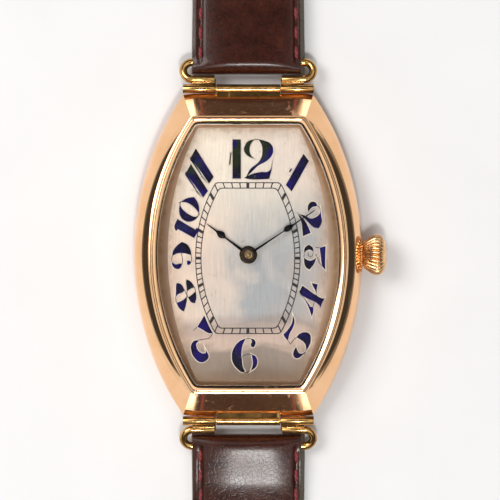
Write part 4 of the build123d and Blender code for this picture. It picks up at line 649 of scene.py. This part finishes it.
# Middle, turn and size, then outlines and hairlines: x and y in turn, in hundredths of that size.
FIGURES = {
    "twelve_one": ((-1.58, 13.41), 0, (1.68, 5.46),
        ((15, 0, 82, 0, 82, 100, 15, 100), (-4, 66, 2, 66, -4, 37, -14, 35)), ()),
    "twelve_two": ((1.43, 13.41), 0, (4.06, 5.6),
        ((36, 99, 14, 94, 3, 82, 0, 74, 6, 63, 20, 55, 35, 51, 24, 59, 19, 70, 20, 81, 26, 91), (50, 99, 68,
         96, 91, 88, 100, 72, 94, 58, 77, 45, 50, 34, 32, 22, 7, 4, 22, 25, 47, 40, 59, 53, 63, 69, 61, 84),
         (1, 3, 26, 12, 56, 17, 86, 20, 98, 43, 93, 20, 86, 0, 14, 0)),
        ((36, 99, 50, 99),)),
    "one": ((6.75, 11.52), 30, (1.68, 5.32),
        ((20, 101, 88, 92, 90, 0, 22, 7), (-10, 41, 0, 42, 0, 52, -10, 51)), ()),
    "two": ((8.71, 5.08), 60, (3.36, 5.04),
        ((17, 83, 1, 83, -9, 74, -6, 64, 8, 56, 21, 53, 14, 61, 12, 71, 16, 79), (39, 84, 61, 78, 86, 70, 101,
         55, 86, 44, 61, 39, 43, 36, 12, 29, 25, 38, 39, 44, 50, 49, 55, 62, 52, 76), (10, 25, 36, 31, 65, 32,
         101, 29, 97, 6, 72, 14, 43, 22)),
        ((17, 83, 28, 86, 39, 84),)),
    "three": ((9.2, -0.38), 90, (3.64, 3.64),
        ((6, 92, 47, 91, 96, 91, 84, 81, 43, 74, 13, 70), (50, 57, 74, 48, 97, 30, 84, 15, 50, 9, 59, 21, 62,
         35, 57, 48), (30, 45, 13, 43, 1, 28, 13, 13, 32, 10, 23, 20, 20, 32, 25, 42)),
        ((13, 70, 11, 54), (96, 91, 72, 70, 37, 55), (32, 10, 50, 9), (30, 45, 42, 42, 48, 34, 42, 25, 32,
         26))),
    "four": ((8.78, -6.19), -60, (4.2, 3.92),
        ((50, 100, 73, 102, 70, 16, 76, 10, 62, 11, 38, 7, 45, 15, 45, 80), (42, 80, 27, 52, 10, 30, 0, 18,
         24, 26, 30, 33, 25, 38, 33, 55), (97, 78, 102, 57, 88, 52, 75, 46, 82, 55, 92, 72)),
        ((29, 31, 46, 36), (72, 45, 82, 49))),
    "five": ((6.75, -11.51), -30, (3.36, 6.16),
        ((80, 97, 65, 85, 35, 75, 6, 70, 8, 58, 10, 53, 28, 64, 57, 74, 76, 86), (48, 50, 65, 53, 86, 51, 101,
         42, 94, 29, 76, 19, 50, 12, 61, 19, 65, 29, 57, 41), (26, 31, 6, 24, -2, 15, 6, 8, 30, 8, 41, 10, 26,
         14, 23, 22)),
        ((8, 70, 10, 55, 12, 43, 32, 48, 50, 50), (41, 10, 50, 12))),
    "six": ((-0.46, -14.03), 0, (3.64, 4.9),
        ((53, 97, 31, 90, 9, 71, 0, 49, 5, 27, 22, 10, 42, 1, 50, 4, 42, 15, 38, 34, 36, 56, 42, 81), (72, 97,
         84, 94, 90, 84, 84, 73, 75, 73, 72, 79, 77, 90), (75, 52, 91, 45, 97, 32, 91, 16, 72, 5, 78, 17, 80,
         32, 77, 45)),
        ((53, 97, 62, 98, 72, 97), (42, 1, 58, 0, 72, 5), (40, 45, 56, 53, 75, 52))),
    "seven": ((-6.65, -11.79), 30, (3.64, 6.44),
        ((18, 98, 40, 89, 60, 81, 81, 74, 64, 70, 40, 70, 17, 70), (32, 38, 32, 28, 43, 18, 64, 9, 97, 7, 112,
         19, 111, 26, 101, 31, 87, 36, 94, 31, 91, 27, 70, 25, 54, 30, 45, 38, 50, 43, 40, 43)),
        ((17, 70, 11, 59), (81, 74, 77, 60, 57, 51, 40, 43))),
    "eight": ((-8.74, -5.7), 60, (4.2, 3.92),
        ((6, 83, 18, 91, 41, 93, 39, 80, 40, 63, 27, 70, 12, 77), (55, 89, 73, 81, 88, 66, 80, 57, 60, 55, 59,
         69), (0, 46, 9, 56, 34, 57, 36, 45, 34, 30, 39, 17, 21, 30, 4, 41), (56, 52, 71, 42, 94, 17, 79, 9,
         56, 9, 59, 23, 59, 39)),
        ((41, 93, 55, 89), (40, 63, 56, 52), (34, 57, 60, 55), (39, 17, 56, 9))),
    "nine": ((-9.25, -0.06), -90, (3.92, 3.36),
        ((28, 91, 12, 87, 1, 70, 5, 56, 19, 48, 20, 59, 17, 74, 22, 85), (47, 89, 66, 85, 84, 69, 97, 50, 88,
         27, 69, 14, 50, 10, 55, 27, 58, 48, 55, 74), (30, 28, 17, 27, 15, 19, 22, 12, 30, 17)),
        ((28, 91, 38, 92, 47, 89), (19, 48, 36, 46, 57, 52), (22, 12, 36, 9, 50, 10))),
    "nought_of_ten": ((-8.16, 6.38), -60, (3.64, 3.36),
        ((50, 96, 30, 87, 9, 67, 3, 45, 9, 23, 30, 7, 47, 5, 36, 12, 32, 30, 33, 59, 41, 85), (58, 96, 80, 83,
         99, 59, 90, 38, 73, 19, 55, 8, 63, 27, 68, 52, 67, 74, 62, 89)),
        ((50, 96, 58, 96), (47, 5, 55, 8))),
    "one_of_ten": ((-8.64, 3.71), -60, (1.68, 3.36),
        ((-12, 80, 10, 94, 80, 100, 79, 14, 98, 12, 95, 0, 13, 1, 11, 78),), ()),
    "eleven_first": ((-7.21, 10.39), -30, (1.68, 5.04), STROKE_OF_ELEVEN, ()),
    "eleven_second": ((-6.48, 12.46), -30, (1.68, 5.32), STROKE_OF_ELEVEN, ()),
}
FIGURE_THICKNESS = 0.05
GROUND_THICKNESS = 0.012
GROUND_SPREAD = 0.14
HAIRLINE_RADIUS = 0.045
SHARP_TURN = radians(62)


def figure_curve(name, seat, outlines, bottom, thickness=0.0, spread=0.0):
    """Outlines of one figure turned and put in place on the dial, filled or else drawn as hairlines."""
    middle, turn, size = seat
    closed = thickness > 0
    curve = bpy.data.curves.new(name, "CURVE")
    curve.dimensions = "2D" if closed else "3D"
    curve.resolution_u = 5
    if closed:
        curve.fill_mode = "BOTH"
        curve.extrude = thickness / 2
        curve.offset = spread
        curve.bevel_depth = 0.012 if spread == 0 else 0.0
        curve.bevel_resolution = 1
    else:
        curve.bevel_depth = HAIRLINE_RADIUS
        curve.bevel_resolution = 2
        curve.use_fill_caps = True
    lean = radians(-turn)
    for outline in outlines:
        spline = curve.splines.new("BEZIER")
        spots = [Vector(((x / 100 - 0.5) * size[0], (y / 100 - 0.5) * size[1]))
                 for x, y in zip(outline[::2], outline[1::2])]
        spline.bezier_points.add(len(spots) - 1)
        spline.use_cyclic_u = closed
        for i, (point, spot) in enumerate(zip(spline.bezier_points, spots)):
            x, y = rotated(*spot, lean)
            point.co = (x + middle[0], y + middle[1], 0)
            before, after = spot - spots[i - 1], spots[(i + 1) % len(spots)] - spot
            sharp = len(spots) < 5 or before.angle(after, 0) > SHARP_TURN
            point.handle_left_type = point.handle_right_type = "VECTOR" if sharp else "AUTO"
    made = bpy.data.objects.new(name, curve)
    bpy.context.collection.objects.link(made)
    pick(made)
    bpy.ops.object.convert(target="MESH")
    made = bpy.context.object
    made.data.transform(Matrix.Translation((0, 0, DIAL_TOP + bottom)))
    made.data.transform(Matrix.Scale(MM, 4))
    return made


blue_enamel, tree = new_material("blue_enamel", Roughness=0.2, Coat_Weight=0.3, Coat_Roughness=0.06)
where = object_place(tree)
pool = add_noise(tree, where, 330.0, 3.0)
deep = add_ramp(tree, pool, (0.36, (0.002, 0.002, 0.008)), (0.48, (0.006, 0.002, 0.05)),
                (0.60, (0.010, 0.003, 0.13)), (0.74, (0.013, 0.004, 0.18)))
height = axes(tree, where)["Y"]
# Painted reflections: greenish-black patches on the figures towards the top and the bottom of the dial.
painted_reflection_noise = add_noise(tree, where, 210.0)
painted_reflection_top = add_ramp(tree, scaled(tree, height, 18.0, painted_reflection_noise), (0.70, 0.0), (0.80, 0.9))
painted_reflection_bottom = add_ramp(tree, scaled(tree, height, -26.0, painted_reflection_noise), (0.92, 0.0), (1.02, 0.8))
painted_reflection_share = add_math(tree, "MAXIMUM", painted_reflection_top, painted_reflection_bottom)
plug(tree, Base_Color=add_mix(tree, painted_reflection_share, deep, (0.018, 0.030, 0.006)),
     Normal=add_bump(tree, pool, 0.3, 0.05))
cream, tree = mottled("cream_ground", 500.0, 4.0, (0.35, (0.86, 0.74, 0.6)), (0.7, (0.62, 0.54, 0.46)),
                      Roughness=0.5)
enamels, grounds, hairlines = [], [], []
for name, (*seat, outlines, hairs) in FIGURES.items():
    enamels.append(figure_curve(name, seat, outlines, FIGURE_THICKNESS / 2 + GROUND_THICKNESS,
                                FIGURE_THICKNESS))
    grounds.append(figure_curve(name + "_ground", seat, outlines, GROUND_THICKNESS / 2, GROUND_THICKNESS,
                                GROUND_SPREAD))
    if hairs:
        hairlines.append(figure_curve(name + "_hairs", seat, hairs, 0.02))
for name, pieces, paint in (("hour_figures", enamels, blue_enamel), ("figure_hairlines", hairlines, ink),
                            ("figure_grounds", grounds, cream)):
    fit(joined(name, pieces), "case", paint, slot="dial_silver")

# Hands: pear-shaped hands stamped from blued steel that has gone nearly black, each pressed on
# its pipe under a domed ring. The end of the gilt centre arbor shows in the middle.
HAND_SECTION = ((-1, 0.0), (-1, 0.55), (-0.86, 0.9), (0, 1.0), (0.86, 0.9), (1, 0.55), (1, 0.0), (0, 0.0),
                (-1, 0.0))
# Heading in degrees, length, hub radius, the pear's place as a share of the length, its length and
# width, the shank's width at both ends, and half the width near the point.
HANDS = {"hour": (306.9, 7.25, 1.17, 0.66, (1.55, 1.0), (0.40, 0.2), 0.12),
         "minute": (56.1, 11.3, 1.04, 0.6, (1.75, 0.86), (0.34, 0.16), 0.1)}


def hand_outline(length, hub, pear_share, pear, shank, tip):
    """Half a hand's outline, from its hub's back to its point: distance and half width."""
    pear_start = length * pear_share - pear[0] / 2
    steps = [rotated(0, hub, -radians(a)) for a in range(-90, 80, 10)]
    steps.append((hub * 1.02, shank[0] / 2))
    steps += [(hub + (pear_start - hub) * i / 6, (shank[0] + (shank[1] - shank[0]) * i / 6) / 2)
              for i in range(1, 7)]
    for i in range(1, 13):
        swell = sin(pi * (i / 12) ** 0.8) ** 1.2
        steps.append((pear_start + pear[0] * i / 12, max(tip, shank[1] / 2 + (pear[1] - shank[1]) / 2 * swell)))
    return steps + [(length - 0.5, tip * 0.8), (length, 0.025)]


def turned(name, around, section, capped=True):
    """A skin turned round the hands' axis from stations of radius and height."""
    def point(share, along):
        radius, height = section[round(along * (len(section) - 1))]
        return *rotated(radius, 0, tau * share), height
    return skin(name, around, len(section) - 1, point, capped)


black_steel = worn_metal("blackened_steel", (0.012, 0.013, 0.02), (0.03, 0.026, 0.03), 0.16, 0.3, 600.0)
for name, (heading, *sizes) in HANDS.items():
    low, high = (corner.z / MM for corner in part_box(name + "_hand"))
    stations = hand_outline(*sizes)
    lean = radians(90 - heading)

    def hand_point(around, along):
        """A point on a hand ridged a little along its middle and turned to its heading."""
        far, half = stations[round(along * (len(stations) - 1))]
        side, rise = HAND_SECTION[round(around * 8)]
        across = side * max(half, 0.004)
        return *rotated(far, across, lean), low + (high - low) * rise
    fit(skin(name + "_hand_blued", 8, len(stations) - 1, hand_point), name, black_steel, name + "_hand",
        slot="hand_steel")
HUB_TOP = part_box("minute_hand")[1].z / MM
brown_steel = worn_metal("browned_steel", (0.085, 0.06, 0.045), (0.045, 0.035, 0.03), 0.3, 0.45, 2000.0)
hub_section = [(radius, HUB_TOP + rise) for rise, radius in
               ((0.0, 0.5), (0.10, 0.57), (0.16, 0.76), (0.10, 0.94), (0.0, 1.02))]
fit(thicken(turned("hand_hub_ring", 48, hub_section, capped=False), 0.04, -1), "minute", brown_steel,
    slot="hand_steel")
dark_brass = worn_metal("dark_brass", (0.25, 0.18, 0.10), (0.13, 0.09, 0.055), 0.3, 0.5, 2000.0)
arbor_section = [(0.43 * cos(pi * i / 12), HUB_TOP - 0.06 + 0.2 * sin(pi * i / 12))
                 for i in range(7)]
fit(turned("centre_arbor_end", 32, arbor_section), "minute", dark_brass, slot="wheel_brass")

# Glass: a mineral glass ground to the barrel shape and slightly crowned, with a ground bevel,
# held down in the bezel.
GLASS_SHAPE = inset(RING_SHAPE, 1.17)
GLASS_BEVEL, GLASS_BEVEL_DROP = 0.12, 0.2
GLASS_CROWN = 100.0
GLASS_BOTTOM, GLASS_TOP = (corner.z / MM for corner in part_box("crystal"))
glass, tree = new_material("clear_glass", Transmission_Weight=1.0, IOR=1.45, Specular_IOR_Level=0.06)
scuffs = add_node(tree, "Group", {"Patch Size": 120.0, "Scratch Size": 500.0}, node_tree=wear_group).outputs
plug(tree, Roughness=add_math(tree, "MULTIPLY", scuffs["Scratches"], 0.05))
glass_rows = [[(x, y, GLASS_TOP - GLASS_CROWN + sqrt(GLASS_CROWN ** 2 - x ** 2) - drop)
               for x, y, z in level(inset(GLASS_SHAPE, distance), 0.0, share)]
              for distance, share, drop in (*((GLASS_BEVEL, share, 0) for share in (0.0, 0.35, 0.7, 0.93, 1.0)),
                                            (0.0, 1.0, GLASS_BEVEL_DROP))]
glass_rows += [level(GLASS_SHAPE, GLASS_BOTTOM), level(GLASS_SHAPE, GLASS_BOTTOM, 0.0)]
watch_glass = fit(rows_skin("watch_glass", glass_rows), "case", glass, "crystal", slot="crystal_glass")
watch_glass.visible_shadow = False
watch_glass.visible_diffuse = False

# Crown: a gold onion with fluting for the fingers, soldered to a fluted collar that seats on the
# case, screwed on the end of the winding stem.
CROWN_FLUTES = 26
# Distance from the watch's middle, radius and depth of the flutes as a share of it.
CROWN_STATIONS = (
    (15.6, 1.16, 0), (15.22, 1.16, 0), (15.22, 1.48, 0), (15.4, 1.75, 0.03), (15.62, 2.1, 0.05),
    (15.82, 2.42, 0.07), (15.93, 2.5, 0.07), (16.0, 2.3, 0.05), (16.03, 1.6, 0), (16.1, 1.5, 0),
    (16.17, 1.75, 0), (16.4, 1.98, 0.05), (16.8, 2.27, 0.07), (17.2, 2.56, 0.08), (17.6, 2.78, 0.085),
    (18.0, 2.88, 0.085), (18.35, 2.86, 0.085), (18.7, 2.7, 0.085), (19.0, 2.4, 0.09), (19.22, 1.9, 0.1),
    (19.36, 1.3, 0.1), (19.42, 0.7, 0.06), (19.44, 0.25, 0))


def crown_point(around, along):
    """A point on the fluted crown: rounded ribs with narrow grooves between them."""
    out, radius, depth = CROWN_STATIONS[round(along * (len(CROWN_STATIONS) - 1))]
    rib = abs(cos(CROWN_FLUTES * pi * around)) ** 0.7
    across, up = rotated(radius * (1 - depth * (1 - rib)), 0, tau * around)
    return out, across, STEM_HEIGHT + up


crown_gold = worn_metal("crown_gold", (0.95, 0.6, 0.32), (0.72, 0.4, 0.17), 0.2, 0.34, 900.0)
crown = skin("fluted_crown", CROWN_FLUTES * 8, len(CROWN_STATIONS) - 1, crown_point)
fit(crown, "stem", crown_gold, "crown", slot="case_gold")

# Strap loops: round gold wire bent to a flat ring, its ends cut on a slant and soldered to the
# outer hinge knuckles, so that each loop swings on a pin through the case's own knuckle.
for side in ("12", "6"):
    wire = fit(finished_copy("strap_loop_" + side, 0.05, "wire_loop_" + side), "loop_" + side, shaded_worn_gold,
               "strap_loop_" + side, slot="case_gold")
    # The loop's faces that look into the gap at the case take the painted shade.
    wire.data.materials.append(gap_shade_gold)
    for face in wire.data.polygons:
        if facing_case(face) and abs(face.center.y) < (HINGE_PLACE + 0.15) * MM:
            face.material_index = 1

# Strap leather: two padded pieces of dark chocolate leather, crowned across, folded round the
# loop's bar and glued and stitched down. The 12 o'clock piece ends at the buckle's pin, the
# 6 o'clock piece in a point with seven punched holes.
STRAPS = {"12": 72.0, "6": 105.0}
BARS = {"12": (27.129, 0.4, 1), "6": (26.983, 0.0, -1)}        # the loop bar's place, its rest height, its way
TOPS = {"12": ((0, 3.5), (5, 3.3), (24, 2.9), (STRAPS["12"], 2.3)),
        "6": ((0, 3.5), (0.6, 3.43), (1.6, 3.27), (3.2, 3.0), (4.8, 2.74), (6.0, 2.62), (8, 2.58), (24, 2.6),
              (STRAPS["6"], 2.3))}
HALF_WIDTH, TAPER = 8.0, 1.0
EYE, BUCKLE_EYE = 1.75, 1.3
POINT_LENGTH = 11.0
LINING = 0.7
STITCH_INSET = 1.2
HOLE_RADIUS, FIRST_HOLE, HOLE_PITCH, HOLES = 0.8, 24.0, 6.0, 7


def strap_half(side, along):
    """Half the strap's width at a distance from the loop's bar."""
    length = STRAPS[side]
    if side == "12":
        return HALF_WIDTH - TAPER * (along + EYE) / (length + EYE + BUCKLE_EYE)
    shoulder = length - POINT_LENGTH
    full = HALF_WIDTH - TAPER * min(1.0, (along + EYE) / (shoulder + EYE))
    point = max(0.0, (along - shoulder) / POINT_LENGTH)
    return full * max(0.0, 1 - point ** 2.2) ** 0.55


def fold_rise(radius, along):
    """Half the height of a fold at a distance from its middle."""
    return sqrt(max(0.0, radius ** 2 - along ** 2))


def strap_top(side, along):
    """Height of the leather's top along its middle line."""
    if along < 0:
        return EYE + fold_rise(EYE, along)
    if along <= STRAPS[side]:
        return between(TOPS[side], along)
    return BUCKLE_EYE + fold_rise(BUCKLE_EYE, along - STRAPS[side])


def strap_bottom(side, along):
    """Height of the leather's underside."""
    if along < 1.4:
        return min(LINING if along >= 0 else EYE, EYE - fold_rise(EYE, along))
    if side == "12" and along > STRAPS[side] - 1.1:
        return BUCKLE_EYE - fold_rise(BUCKLE_EYE, along - STRAPS[side])
    return LINING


def strap_stations(side):
    """Distances from the loop's bar at which the strap gets a ring of points."""
    length = STRAPS[side]
    straight = length - (1.1 if side == "12" else POINT_LENGTH)
    stations = [-EYE * cos(pi / 2 * i / 9) for i in range(9)]
    stations += [0.8 * i for i in range(int(straight / 0.8) + 1)]
    if side == "12":
        return stations + [length + BUCKLE_EYE * sin(pi / 2 * (i / 8 * 1.64 - 0.64)) for i in range(9)]
    return stations + [straight + POINT_LENGTH * sin(pi / 2 * i / 20) for i in range(1, 21)]


def strap_rise(side, along, share):
    """Height of the leather's top at a share of its half width, with its stitched groove."""
    half, top, bottom = (measure(side, along) for measure in (strap_half, strap_top, strap_bottom))
    padding = 0.26 - 0.12 * min(1.0, max(0.0, along) / 30.0)
    ease = 1 - max(0.0, -along / EYE)
    crowned = top - (top - bottom) * padding * ease * abs(share) ** 3.2
    gap = abs(abs(share) * half - (half - STITCH_INSET))
    groove = 0.2 * exp(-(gap / 0.3) ** 2) * min(1.0, max(0.0, (along + 0.4) / 0.8)) * (half > 4)
    return max(bottom + 0.02, crowned - groove * min(1.0, (top - bottom) / 1.5))


def strap_place(side, across, along, height):
    """A point of a strap piece, from its own distances to the watch's."""
    bar, rest, way = BARS[side]
    return across, way * (bar + along), rest + height


def strap_point(side, around, far):
    """A point on the leather: the top, the right edge, the underside, then the left edge."""
    step = round(around * 100)
    half, bottom = strap_half(side, far), strap_bottom(side, far)
    left, right = min(0.14, half / 2), min(0.62, half / 2)
    if step <= 72:
        across = max(left - half, min(half - right, (step / 36 - 1) * half))
        height = strap_rise(side, far, across / half if half else 0)
    elif step <= 79:
        drop = (step - 72) / 7
        across = half - right * (1 - drop) ** 1.6
        height = strap_rise(side, far, 0.96) * (1 - drop) + bottom * drop
    elif step <= 93:
        across = half * (1 - 2 * (step - 79) / 14)
        height = bottom
    else:
        drop = (step - 93) / 7
        across = left * drop ** 0.7 - half
        height = bottom * (1 - drop) + strap_rise(side, far, -0.98) * drop
    return strap_place(side, across, far, height)


def round_punch(side, radius, along, height=None, depth=12.0):
    """A round punch through the strap, upright at a place or across it at a height."""
    upright = height is None
    place = Vector(strap_place(side, 0, along, 1.5 if upright else height)) * MM
    bpy.ops.mesh.primitive_cylinder_add(vertices=36, radius=radius * MM, depth=depth * MM, location=place,
                                        rotation=(0, 0, 0) if upright else (0, pi / 2, 0))
    bpy.ops.object.transform_apply(location=True, rotation=True, scale=True)
    return bpy.context.object


def hole_punches(side):
    """Punches for the row of holes."""
    return [round_punch(side, HOLE_RADIUS, STRAPS[side] - FIRST_HOLE - HOLE_PITCH * i) for i in range(HOLES)]


# Leather grain: small cells parted by creases, with broad softer folds.
grain_group, given = new_group("leather_grain", ("Cell Size",), ("Creases", "Folds", "Height"))
where = object_place(grain_group)
bent = add_node(grain_group, "TexNoise", {"Vector": where, "Scale": 700.0, "Detail": 2.0}).outputs["Color"]
shifted = add_node(grain_group, "VectorMath", {0: bent, 1: (0.0012, 0.0012, 0.0012), 2: where},
                   operation="MULTIPLY_ADD").outputs[0]
cells = add_node(grain_group, "TexVoronoi", {"Vector": shifted, "Scale": given["Cell Size"]},
                 feature="DISTANCE_TO_EDGE").outputs["Distance"]
creases = add_range(grain_group, cells, 0.0, 0.12, 1.0, 0.0)
folds = add_noise(grain_group, where, 350.0, 6.0, Roughness=0.65)
close_group(grain_group, Creases=creases, Folds=folds,
            Height=add_math(grain_group, "SUBTRACT", folds, add_math(grain_group, "MULTIPLY", creases, 0.45)))


def grained(name, light, dark, crease, smooth, rough, bump, coat=0.0, cell=1600.0):
    """Leather with its grain in colour, gloss and height."""
    made, tree = new_material(name, Coat_Weight=coat, Coat_Roughness=0.16, Specular_IOR_Level=0.17)
    grain = add_node(tree, "Group", {"Cell Size": cell}, node_tree=grain_group).outputs
    tone = add_range(tree, grain["Folds"], 0.3, 0.7)
    plug(tree, Base_Color=add_mix(tree, add_math(tree, "MULTIPLY", grain["Creases"], 0.7),
                                  add_mix(tree, tone, dark, light), crease),
         Roughness=add_range(tree, tone, 0.0, 1.0, smooth, rough),
         Normal=add_bump(tree, grain["Height"], bump, 0.12))
    return made


leather = grained("chocolate_leather", (0.065, 0.013, 0.006), (0.026, 0.006, 0.003), (0.010, 0.003, 0.002),
                  0.2, 0.3, 0.16, coat=0.22)
cut_edge = grained("cut_edge", (0.17, 0.145, 0.105), (0.10, 0.085, 0.065), (0.05, 0.04, 0.03), 0.6, 0.8, 0.4)
for side, length in STRAPS.items():
    stations = strap_stations(side)
    strap = skin("strap_leather_" + side, 100, len(stations) - 1,
                 lambda u, v: strap_point(side, u, stations[round(v * (len(stations) - 1))]))
    cutters = [round_punch(side, 0.6, 0.0, EYE, 20.0)]
    if side == "12":
        cutters.append(round_punch(side, 0.54, length, BUCKLE_EYE, 20.0))
        bpy.ops.mesh.primitive_cube_add(size=1.0, location=(0, 0, 0))
        cutters.append(bpy.context.object)
        slot_middle = Vector(strap_place(side, 0, length - 0.3, 1.5)) * MM
        cutters[-1].data.transform(Matrix.Translation(slot_middle)
                                   @ Matrix.Diagonal((2.0 * MM, 3.4 * MM, 12 * MM, 1)))
    else:
        cutters += hole_punches(side)
    cut_through(strap, cutters)
    fit(strap, "strap_" + side, leather, "strap_" + side, slot="strap_leather")
    strap.data.materials.append(cut_edge)
    for face in strap.data.polygons:
        half = strap_half(side, abs(face.center.y) / MM - BARS[side][0])
        steep = abs(face.normal.x) > 0.45 and abs(face.center.x) / MM > half - 0.75
        face.material_index = 1 if steep else 0

# Strap lining: thin olive-grey calf under each piece, glued and stitched to the leather, which
# touches the wrist and shows as a pale edge.
LINING_START = EYE + 0.25


def lining_point(side, around, along):
    """A point on the lining's rounded slab."""
    length = STRAPS[side]
    straight = length - POINT_LENGTH
    if side == "12":
        far = LINING_START + (length - 1.55 - LINING_START) * along
    elif along > 0.8:
        far = straight + POINT_LENGTH * sin(pi / 2 * (along - 0.8) / 0.2)
    else:
        far = LINING_START + (straight - LINING_START) * along / 0.8
    across, up = rotated(1, 0, tau * (around + 1 / 8))
    widest = max(abs(across), abs(up))
    across, up = across / widest * strap_half(side, far), up / widest
    across *= 1 - 0.012 * max(0.0, abs(up) - 0.75) / 0.25
    return strap_place(side, across, far, LINING * (0.5 + 0.5 * up))


olive_lining = grained("olive_lining", (0.24, 0.205, 0.15), (0.15, 0.13, 0.095), (0.08, 0.07, 0.05), 0.6, 0.8,
                       0.35, cell=2400.0)
for side in STRAPS:
    lining = skin("strap_lining_" + side, 48, 100, lambda u, v: lining_point(side, u, v))
    if side == "6":
        cut_through(lining, hole_punches(side))
    fit(lining, "strap_" + side, olive_lining, f"strap_{side}_lining", slot="strap_lining")

# Stitching: crimson waxed thread, sewn by hand in two rows down each piece through leather and
# lining, each stitch lying at a slight slant in its groove.
PITCH, FIRST_STITCH = 2.75, 1.35
TIP_REACH, TIP_HALF_WIDTH, TIP_STITCHES = 9.6, 5.8, 9
crimson, tree = new_material("crimson_thread", Roughness=0.55, Sheen_Weight=0.3)
twist = add_node(tree, "TexWave", {"Vector": object_place(tree), "Scale": 900.0, "Distortion": 1.0},
                 bands_direction="DIAGONAL").outputs["Fac"]
plug(tree, Base_Color=add_ramp(tree, twist, (0.2, (0.11, 0.004, 0.008)), (0.8, (0.3, 0.012, 0.022))),
     Normal=add_bump(tree, twist, 0.5, 0.05))


def stitch(place, lean, length):
    """One stitch: a sphere drawn out to a thread that dips into the leather at both ends."""
    bpy.ops.mesh.primitive_uv_sphere_add(segments=8, ring_count=6, radius=1.0)
    made = bpy.context.object
    for point in made.data.vertices:
        x, y, z = point.co
        point.co = (Vector(place) + Vector((*rotated(0.24 * x, y * length / 2, lean),
                                            0.2 * z - 0.16 * abs(y) ** 3))) * MM
    return made


random.seed(7)
for side, length in STRAPS.items():
    made = []
    last = length - (3.5 if side == "12" else 12.5)
    for way in (-1, 1):
        for i in range(int((last - FIRST_STITCH) / PITCH) + 1):
            far = FIRST_STITCH + i * PITCH
            across = way * (strap_half(side, far) - STITCH_INSET)
            rise = strap_rise(side, far, across / strap_half(side, far)) + 0.09
            lean = random.uniform(-0.03, 0.03) + way * 0.05
            made.append(stitch(strap_place(side, across, far, rise), lean, 2.05 + random.uniform(-0.1, 0.1)))
            x, y, z = strap_place(side, across, far, 0.05)
            made.append(stitch((x, y, max(z, 0.21)), lean, 1.7))
    if side == "6":
        for i in range(TIP_STITCHES):
            turn = pi * (i + 0.5) / TIP_STITCHES
            across, far = TIP_HALF_WIDTH * cos(turn), length - 11.6 + TIP_REACH * sin(turn)
            share = abs(across) / max(0.1, strap_half(side, far))
            lean = pi / 2 - atan2(TIP_REACH * cos(turn), TIP_HALF_WIDTH * sin(turn))
            rise = strap_rise(side, far, min(0.9, share)) + 0.05
            made.append(stitch(strap_place(side, across, far, rise), lean, 1.9))
    fit(joined("strap_stitches_" + side, made), "strap_" + side, crimson, slot="strap_leather")

# Keepers: bands of the same leather, skived thin and sewn into loops. One is fixed by the buckle
# and one slides, and both hold the free end of the other strap piece.
for node, name, body in (("fixed_keeper", "keeper_fixed", "strap_12"),
                         ("sliding_keeper", "keeper_sliding", "keeper")):
    low, high = (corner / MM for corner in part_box(node))
    middle, wide, tall = (low + high) / 2, (high.x - low.x) / 2, (high.z - low.z) / 2

    def keeper_point(around, along):
        """A point on the keeper's outer skin, a rounded rectangle with softened edges."""
        across, up = rotated(1, 0, tau * around + 0.01)
        squeeze = (abs(across) ** 8 + abs(up) ** 8) ** (-1 / 8)
        soft = 0.10 * abs(2 * along - 1) ** 4
        return (middle.x + (wide - soft) * across * squeeze, low.y + (high.y - low.y) * along,
                middle.z + (tall - soft) * up * squeeze)
    fit(thicken(skin(name, 96, 10, keeper_point, capped=False), 0.4, -1), body, leather, node,
        slot="strap_leather")

# Buckle: a plain gold pin buckle, cast and polished, with a steel-cored gold pin pressed through
# its arms and a gold tongue curled round the pin.
for node, edge, name, rounds, body in (("buckle_frame", 0.16, "buckle_polished", 3, "buckle"),
                                       ("buckle_tongue", 0.12, "tongue_polished", 3, "tongue"),
                                       ("buckle_pin", 0.05, "buckle_pin_polished", 2, "strap_12")):
    fit(finished_copy(node, edge, name, rounds), body, rose_gold, node, slot="case_gold")
